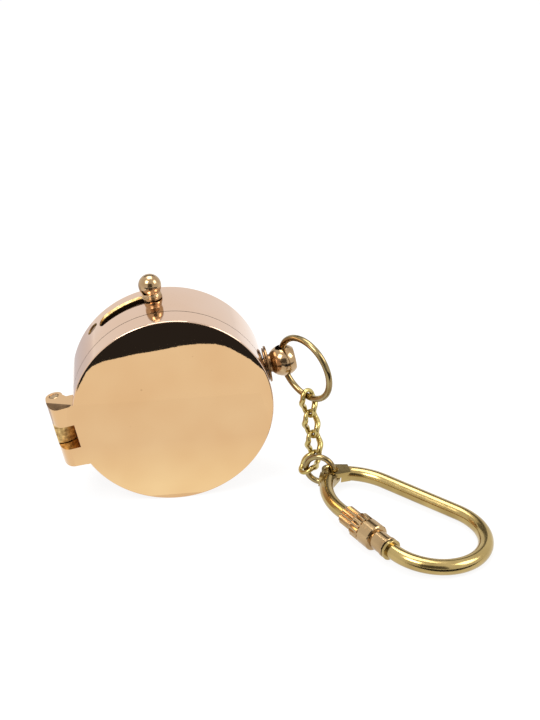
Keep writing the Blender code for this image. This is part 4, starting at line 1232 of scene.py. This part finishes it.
# %% Turn the sleeve
SLEEVE = 14.6 * MM
FLUTES = 16
EDGE = 0.1 * MM
NECK_RADIUS = 2.35 * MM
NECK_GROOVE = NECK_RADIUS - 0.15 * MM
THICK_RADIUS = 3.0 * MM
THICK_GROOVE = THICK_RADIUS - 0.3 * MM
FLUTED_RADIUS = THICK_RADIUS - 0.05 * MM
COLLAR_RADIUS = 2.3 * MM
THICK_END = 10.6 * MM
FLUTE_END = 7.1 * MM
COLLAR_END = 4.3 * MM
sleeve_bore = GATE_ROD + RUNNING_GAP
rings = [(sleeve_bore, SLEEVE), (NECK_RADIUS - EDGE, SLEEVE), (NECK_RADIUS, SLEEVE - EDGE)]
rings += [(NECK_RADIUS, SLEEVE - 0.6 * MM), (NECK_GROOVE, SLEEVE - 0.75 * MM)]
rings += [(NECK_GROOVE, THICK_END + EDGE), (THICK_RADIUS - 2 * EDGE, THICK_END)]
rings += [(THICK_RADIUS, THICK_END - 2 * EDGE), (THICK_RADIUS, FLUTE_END + 0.35 * MM)]
rings += [(THICK_GROOVE, FLUTE_END + 0.25 * MM), (THICK_GROOVE, FLUTE_END)]
fluted = [(FLUTED_RADIUS, FLUTE_END - EDGE), (FLUTED_RADIUS, COLLAR_END + 3 * EDGE)]
fluted += [(FLUTED_RADIUS - 2 * EDGE, COLLAR_END), (COLLAR_RADIUS, COLLAR_END - EDGE / 2)]
fluted += [(COLLAR_RADIUS, 3 * EDGE), (COLLAR_RADIUS - 2.5 * EDGE, 0.0)]
rings += fluted + [(sleeve_bore + EDGE / 5, 0.0), (sleeve_bore, EDGE / 2)]
sleeve = turned("screw_sleeve_turned", rings, 8 * FLUTES, closed=True)
print("sleeve:", in_mm(sleeve.dimensions))

# %% [markdown]
# Grooves run lengthwise on the collar and on half of the thick body, so that fingers can turn
# the sleeve. Sixteen cutters could cut them one by one. It is quicker and smoother to draw the
# corners of those stretches in by a wave round the sleeve, which leaves rounded flutes.

# %% Draw in the grooves
GROOVE = 0.3 * MM
SLEEVE_BRASS = brass(
    "sleeve_brass", colour(190, 161, 120), colour(166, 137, 97), 0.16, cloud=220.0
)
highest = max(height for _, height in fluted)
drawn = 0
for corner in sleeve.data.vertices:
    spot = sleeve.matrix_world @ corner.co
    radius = spot.xy.length
    if spot.z < highest + MERGE and radius > sleeve_bore + 0.3 * MM:
        wave = (0.5 + 0.5 * cos(FLUTES * atan2(spot.y, spot.x))) ** 2
        share = 1 - GROOVE * wave / radius
        corner.co.x *= share
        corner.co.y *= share
        drawn += 1
sleeve_place = SHACKLE @ along_gate(BOSS_END + SLEEVE_GAP + SLEEVE)
settle(sleeve, sleeve_place, "sleeve", "screw_sleeve")
dress(sleeve, SLEEVE_BRASS)
print("corners drawn in:", drawn)

# %% [markdown]
# ## Under the lid
# The dial shows when the lid is open. It is a plate with white enamel, fired and smooth, with
# the faintest clouds of cream. Ink and the needle's red paint are made the same way, from two
# near tints each.

# %% Enamel, ink and paint
def enamel(name, light, dark, rough):
    """Smooth enamel or paint with a faint cloud."""
    material, shader, place = opened(name)
    link(noise(place, 120.0).above(0.5, 0.3).mix(light, dark), shader, "Base Color")
    link(noise(place, 900.0) * 0.1 + rough, shader, "Roughness")
    return material


WHITE = enamel("white_enamel", colour(244, 240, 226), colour(236, 230, 212), 0.3)
INK = enamel("black_ink", colour(28, 26, 26), colour(44, 40, 38), 0.4)
RED = enamel("red_enamel", colour(176, 34, 26), colour(150, 26, 22), 0.3)
print("enamels:", WHITE.name, INK.name, RED.name)

# %% [markdown]
# The dial is a thin ring round the needle's post. A sloping degree ring stands round it and
# holds the glass. Both are turned between the levels of the packed pieces.

# %% Turn the dial and the degree ring
def levels(node):
    """A node's lowest and highest level out of the lid."""
    low_corner, high_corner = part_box(node)
    return -high_corner.y, -low_corner.y


DIAL_HOLE = 1.65 * MM
RING_WALL = 1.8 * MM
RING_SLOPE = 1.0 * MM
dial_low, dial_high = levels("dial_plate")
dial_outer = BORE_RADIUS - SEAT_GAP
rings = [(DIAL_HOLE, dial_high), (dial_outer - BROKEN, dial_high)]
rings += [(dial_outer, dial_high - BROKEN), (dial_outer, dial_low), (DIAL_HOLE, dial_low)]
dial = turned("dial_enamelled", rings, 144, closed=True)
settle(dial, COMPASS, "case", "dial_plate")
dress(dial, WHITE)
ring_low, ring_high = levels("degree_ring")
ring_inner = dial_outer - RING_WALL
rings = [(ring_inner, ring_high), (dial_outer, ring_high), (dial_outer, ring_low)]
rings.append((ring_inner - RING_SLOPE, ring_low))
degree_ring = turned("degree_ring_turned", rings, 144, closed=True)
settle(degree_ring, COMPASS, "case", "degree_ring")
dress(degree_ring, WALL_BRASS)
print("dial from", in_mm((dial_low,)), "to", in_mm((dial_high,)), "ring to", in_mm((ring_high,)))

# %% [markdown]
# The ticks and letters are printed in black. A print is thin, but it is a shape, so that it is
# also there in the mesh: each tick is a strip of ink 0.03 mm high. A long and a short
# tick are modelled once and copied all the way round, every sixth one long.

# %% Ticks all round
INK_HEIGHT = 0.03 * MM
TICKS = 72
LONG_EVERY = 6


def strip(start, end, width):
    """A thin strip of ink along X."""
    return flat("tick", box_outline((start, -width / 2), (end, width / 2)), INK_HEIGHT)


def all_round(long_tick, short_tick, place=HERE):
    """Copies of a long and a short tick, all the way round the axis."""
    ticks = []
    for number in range(TICKS):
        pattern = short_tick if number % LONG_EVERY else long_tick
        ticks.append(copied(pattern, "mark", turn(2 * pi * number / TICKS, "Z") @ place))
    discard(long_tick)
    discard(short_tick)
    return ticks


print("degrees between ticks:", 360 / TICKS)

# %% [markdown]
# A hundred small marks would each be a piece of their own. They are joined into one print
# instead, which moves with the case like the plate under it.

# %% Join marks into a print
def printed(name, marks, place):
    """Joins marks into one print and puts it in its place on the case."""
    deselect()
    for mark in marks:
        mark.select_set(True)
    bpy.context.view_layer.objects.active = marks[0]
    bpy.ops.object.transform_apply(location=True, rotation=True, scale=True)
    bpy.ops.object.join()
    made = bpy.context.object
    made.name = name
    settle(made, place, "case")
    return dress(made, INK)


print("the ink stands", in_mm((INK_HEIGHT,)), "mm high")

# %% [markdown]
# The dial carries its ticks near the edge, and inside them the four plain letters, each
# standing upright as seen from the middle. A letter is a text object with a little extrusion,
# which is made a mesh before it is placed.

# %% Print the dial
TICK_OUTER = 17.0 * MM
LETTER_SIZE = 4.2 * MM
LETTER_OUT = 12.6 * MM
long_tick = strip(TICK_OUTER - 1.5 * MM, TICK_OUTER, 0.3 * MM)
short_tick = strip(TICK_OUTER - 0.8 * MM, TICK_OUTER, 0.15 * MM)
marks = all_round(long_tick, short_tick)
for quarter, letter in enumerate("NWSE"):
    deselect()
    bpy.ops.object.text_add()
    text = bpy.context.object
    text.data.body = letter
    text.data.size = LETTER_SIZE
    text.data.align_x = "CENTER"
    text.data.align_y = "CENTER"
    text.data.extrude = INK_HEIGHT / 2
    bpy.ops.object.convert(target="MESH")
    text = bpy.context.object
    text.matrix_world = turn(pi / 2 * quarter, "Z") @ at(0.0, LETTER_OUT, 0.0)
    marks.append(text)
print("marks on the dial:", len(marks))
printed("dial_printing", marks, COMPASS @ at(0.0, 0.0, dial_high + INK_HEIGHT / 2))

# %% [markdown]
# The degree ring's ticks lie on its slope. One strip is tilted by the slope's angle and set on
# its middle, and the rest are copies turned about the axis.

# %% Print the degree ring
ring_height = ring_high - ring_low
slope = atan2(ring_height, RING_SLOPE)
half_slope = hypot(ring_height, RING_SLOPE) / 2
on_slope = at(ring_inner - RING_SLOPE / 2, 0.0, (ring_low + ring_high) / 2)
on_slope = on_slope @ turn(-slope, "Y") @ at(0.0, 0.0, INK_HEIGHT / 2)
long_tick = strip(-0.9 * half_slope, 0.9 * half_slope, 0.24 * MM)
short_tick = strip(-0.1 * half_slope, 0.9 * half_slope, 0.12 * MM)
printed("degree_ticks", all_round(long_tick, short_tick, on_slope), COMPASS)
print("slope:", round(slope * 180 / pi), "degrees")

# %% [markdown]
# ## The needle
# The needle is a long steel diamond with a hole for its cap. Its north half is painted red and
# its south half is left blue from the heat. Both halves are one outline, so the south half is a
# copy of the north half, turned half way round.

# %% Make the needle
NEEDLE_TIP = 15.0 * MM
NEEDLE_SIDE = 2.3 * MM
NECK_HOLE = 1.25 * MM
needle_low, needle_high = levels("needle")
steel, shader, place = opened("blued_steel")
shader.inputs["Metallic"].default_value = 1.0
link(noise(place, 200.0).mix(colour(40, 58, 110), colour(66, 60, 120)), shader, "Base Color")
link(noise(place, 900.0) * 0.1 + 0.22, shader, "Roughness")
outline = [(NEEDLE_SIDE, 0.0), (0.0, NEEDLE_TIP), (-NEEDLE_SIDE, 0.0)]
outline += arc((0.0, 0.0), NECK_HOLE, pi, 0.0, 24)
blade = flat("blade", outline, needle_high - needle_low)
needle_place = COMPASS @ at(0.0, 0.0, (needle_low + needle_high) / 2)
for name, half_turn, finish in (("needle_north", 0.0, RED), ("needle_south", pi, steel)):
    half = copied(blade, name, turn(half_turn, "Z"))
    settle(half, needle_place, "needle", "needle")
    dress(half, finish)
discard(blade)
print("needle:", in_mm((2 * NEEDLE_TIP, 2 * NEEDLE_SIDE, needle_high - needle_low)))

# %% [markdown]
# The cap sits on the needle's middle and carries the cup in which the post's point turns. Its
# outline goes over the dome, down the flange and up into the cup, which ends almost in a point.

# %% Turn the needle's cap
CAP_RADIUS = 1.2 * MM
CAP_FLANGE = 1.7 * MM
CUP_RADIUS = 0.9 * MM
CUP_POINT = 0.05 * MM
DOME_TOP = 0.5 * MM
cap_low, cap_high = levels("needle_cap")
cap_step = cap_low + 0.2 * MM
dome_low = cap_high - 0.25 * MM
rings = [(DOME_TOP, cap_high), (2 * DOME_TOP, cap_high - 0.08 * MM), (CAP_RADIUS, dome_low)]
rings += [(CAP_RADIUS, cap_step), (CAP_FLANGE, cap_step), (CAP_FLANGE, cap_low)]
rings += [(CUP_RADIUS, cap_low), (CUP_POINT, dome_low)]
cap = turned("needle_cap_turned", rings, 64)
settle(cap, COMPASS, "needle", "needle_cap")
dress(cap, KNOB_BRASS)
print("cap:", in_mm((2 * CAP_FLANGE, cap_high - cap_low)))

# %% [markdown]
# ## What stays as it was packed
# The glass is a plain flat disc, and the post, the lock arm, the lifter and the snap ring are
# out of sight or plain. They keep their packed shape and get a finish. Glass is the shader's
# transmission at full, with a faint breath of roughness and tint.

# %% Finish the packed pieces
glass, shader, place = opened("clear_glass")
shader.inputs["Transmission Weight"].default_value = 1.0
shader.inputs["IOR"].default_value = 1.46
link(noise(place, 80.0) * 0.02 + 0.01, shader, "Roughness")
link(noise(place, 60.0).mix(colour(250, 252, 252), colour(244, 250, 248)), shader, "Base Color")
packed = {"glass": glass}
for node in ("pivot_post", "lock_arm", "needle_lifter", "retaining_ring"):
    packed[node] = KNOB_BRASS
for node, material in packed.items():
    NODES[node].data.materials.clear()
    NODES[node].data.materials.append(material)
print("packed pieces finished:", list(packed))

# %% [markdown]
# ## Floor and sky
# Polished metal shows what is round it more than it shows itself, so the studio matters. The
# floor is matte paper that takes the object's shadow. For the camera, for reflections and
# through glass it also glows, so that it looks white without more light on the object.

# %% White floor
FLOOR_SIZE = 6.0
FLOOR_GLOW = 0.85
PAPER = (0.9, 0.9, 0.9, 1.0)
PURE_WHITE = (1.0, 1.0, 1.0, 1.0)


def seen(start):
    """1 for rays from the camera and for their reflections and refractions."""
    kinds = ("Is Camera Ray", "Is Glossy Ray", "Is Transmission Ray")
    camera, glossy, clear = (start.node("ShaderNodeLightPath", {}, {}, kind) for kind in kinds)
    return start.math("MAXIMUM", start.math("MAXIMUM", camera, glossy), clear)


deselect()
bpy.ops.mesh.primitive_plane_add(size=FLOOR_SIZE)
floor = bpy.context.object
floor.name = "floor"
floor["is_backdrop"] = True
paper, matte, place = opened("white_paper")
matte.inputs["Base Color"].default_value = PAPER
matte.inputs["Roughness"].default_value = 0.9
matte.inputs["Specular IOR Level"].default_value = 0.1
glow = place.node("ShaderNodeEmission", {}, {"Color": PURE_WHITE, "Strength": 1.0})
lit = Field(place.tree, matte.outputs["BSDF"])
mixed = place.node("ShaderNodeMixShader", {}, {0: seen(place) * FLOOR_GLOW, 1: lit, 2: glow})
link(mixed, place.tree.nodes["Material Output"], "Surface")
floor.data.materials.append(paper)
print("floor:", FLOOR_SIZE, "m across")

# %% [markdown]
# The sky is plain white at a strength of 1. It lights the object evenly from all round, and
# the brass and the glass show it as white.

# %% White sky
world = bpy.data.worlds.new("studio")
world.use_nodes = True
sky = world.node_tree.nodes["Background"]
sky.inputs["Color"].default_value = PURE_WHITE
sky.inputs["Strength"].default_value = 1.0
bpy.context.scene.world = world
print("sky strength:", sky.inputs["Strength"].default_value)

# %% [markdown]
# ## Lamps
# Three weak soft boxes above the compass give its rounded edges their highlights: a key from
# the left, a fill from the right and one from above. Hard lamps would burn white spots into
# the mirror.

# %% Three soft boxes
def softbox(name, spot, aim, size, watts):
    """A square area lamp that looks at a point."""
    lamp = bpy.data.lights.new(name, "AREA")
    lamp.size = size
    lamp.energy = watts
    holder = bpy.data.objects.new(name, lamp)
    holder.location = spot
    holder.rotation_euler = (Vector(aim) - Vector(spot)).to_track_quat("-Z", "Y").to_euler()
    bpy.context.scene.collection.objects.link(holder)
    return holder


AIM = (0.01, -0.01, 0.02)
softbox("key", (-0.35, -0.35, 0.6), AIM, 0.3, 3.0)
softbox("fill", (0.5, -0.2, 0.45), AIM, 0.3, 1.5)
softbox("top", (0.0, 0.15, 0.7), AIM, 0.4, 2.5)
print("lamps:", len(bpy.data.lights))

# %% [markdown]
# ## Cards for the mirror
# Photographers of metal place cards that only its reflections show. A card here is a thin
# sheet that glows, with a tone that changes slowly along it, and that neither the camera nor
# the other light sees, so it takes no light away and casts no shadow.

# %% Make a card
CARD = 0.2 * MM
BLACK = (0.0, 0.0, 0.0, 1.0)


def glowing(name, tone, other, direction, middle, spread):
    """A material that only glows. Its tone changes along a direction, round a middle place."""
    material, shader, place = opened(name)
    shader.inputs["Base Color"].default_value = BLACK
    shader.inputs["Specular IOR Level"].default_value = 0.0
    shader.inputs["Emission Strength"].default_value = 1.0
    change = along(place, direction).above(middle * MM, spread * MM)
    link(change.mix((*tone, 1.0), (*other, 1.0)), shader, "Emission Color")
    return material


def card(name, outline, place, *glow):
    """A card that only reflections show. Its outline is in millimetres."""
    made = flat(name, [(x * MM, y * MM) for x, y in outline], CARD)
    made.matrix_world = place
    made.data.materials.append(glowing(name, *glow))
    made.visible_camera = False
    made.visible_diffuse = False
    made.visible_shadow = False
    made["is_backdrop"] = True
    return made


ACROSS = (1.0, 0.0, 0.0)
INWARD = (0.0, 1.0, 0.0)
UPRIGHT = turn(pi / 2, "X")
LYING = at(0.0, 0.0, 0.4 * MM)
print("a card is", in_mm((CARD,)), "mm thick")

# %% [markdown]
# The mirror of the lid reflects the floor just in front of it, and past the end of the lit
# floor the room is dark: that is the dark band along the top of the lid. A dark card on the
# floor stands for it, with a rounded bay, through which the lit floor shows.

# %% The dark room in front
ROOM = ((0.026, 0.028, 0.04), (0.03, 0.03, 0.036), ACROSS, 0.0, 300.0)
BAY = [(-24.5, -66), (-23.6, -68.4), (-21, -79.4), (-19.2, -83.2), (-16, -85.8), (-11.4, -87.4)]
BAY += [(-6.7, -89.2), (-2.1, -90.1), (2.7, -91.5), (7.4, -93), (12.2, -93.4), (16.9, -92.5)]
BAY += [(19.5, -90.7), (22.4, -86.7), (25.8, -80.8), (28.5, -73.7), (29.4, -70.2), (32, -55)]
outline = [(-300, -130), (-40, -95), (-27, -72)] + BAY
outline += [(300, -55), (300, -420), (-300, -420)]
floor_card = card("floor_card", outline, LYING, *ROOM)
print("the bay has", len(BAY), "corners, and its card", len(floor_card.data.polygons), "faces")

# %% [markdown]
# Two upright cards give the rounded pieces their dark streaks, one behind the camera and one
# far behind the compass. A bright one lies on the floor close in front, where the light in the
# room is a little stronger than on the paper. The one to the left is brighter than the paper far
# out and darker near the compass: a darker patch painted into what the case's wall reflects.

# %% The walls and the patches on the floor
WALLS = ((0.1, 0.095, 0.09), (0.14, 0.13, 0.12), ACROSS, 0.0, 600.0)
NEAR = ((1.096, 1.092, 1.09), (1.27, 1.35, 1.32), INWARD, -28.0, 10.0)
LEFT = ((1.08, 1.07, 1.07), (0.7, 0.66, 0.68), ACROSS, -160.0, 120.0)
card("camera_card", box_outline((-130, 30), (130, 260)), at(0.0, -0.3, 0.0) @ UPRIGHT, *WALLS)
card("back_card", box_outline((-700, 600), (700, 1100)), at(0.0, 1.0, 0.0) @ UPRIGHT, *WALLS)
card("near_card", box_outline((-26, -60), (26, -14)), LYING, *NEAR)
# Painted darker patch: darker than the paper near the compass, brighter far out.
card("left_card", box_outline((-320, 15), (-35, 420)), LYING, *LEFT)

# %% [markdown]
# ## The camera
# The camera stands a little left of the compass and looks down on it, at the angle of the
# photograph. Its place and lens were worked out from the ellipses of the lid and the case,
# whose true shape is known.

# %% Set the camera
LENS = 56.94
LOOK_DOWN = radians(26.59)
LOOK_RIGHT = radians(8.24)
lens = bpy.data.cameras.new("camera")
lens.lens = LENS
lens.sensor_width = 36.0
lens.clip_start = 0.01
camera = bpy.data.objects.new("camera", lens)
camera.location = (-10.63 * MM, -235.49 * MM, 146.86 * MM)
camera.rotation_euler = (pi / 2 - LOOK_DOWN, 0.0, -LOOK_RIGHT)
bpy.context.scene.collection.objects.link(camera)
bpy.context.scene.camera = camera
bpy.context.scene.view_settings.view_transform = "Standard"
print("camera at", in_mm(camera.location), "lens:", LENS)

# %% [markdown] ## Two boxes, and the end The finished pieces may not grow past the packed
# model.

# %% Print the two boxes and finish
boxes = {"cad": CAD_BOX, "visual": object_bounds()}
for name, box in boxes.items():
    print(name, [in_mm(corner) for corner in box])
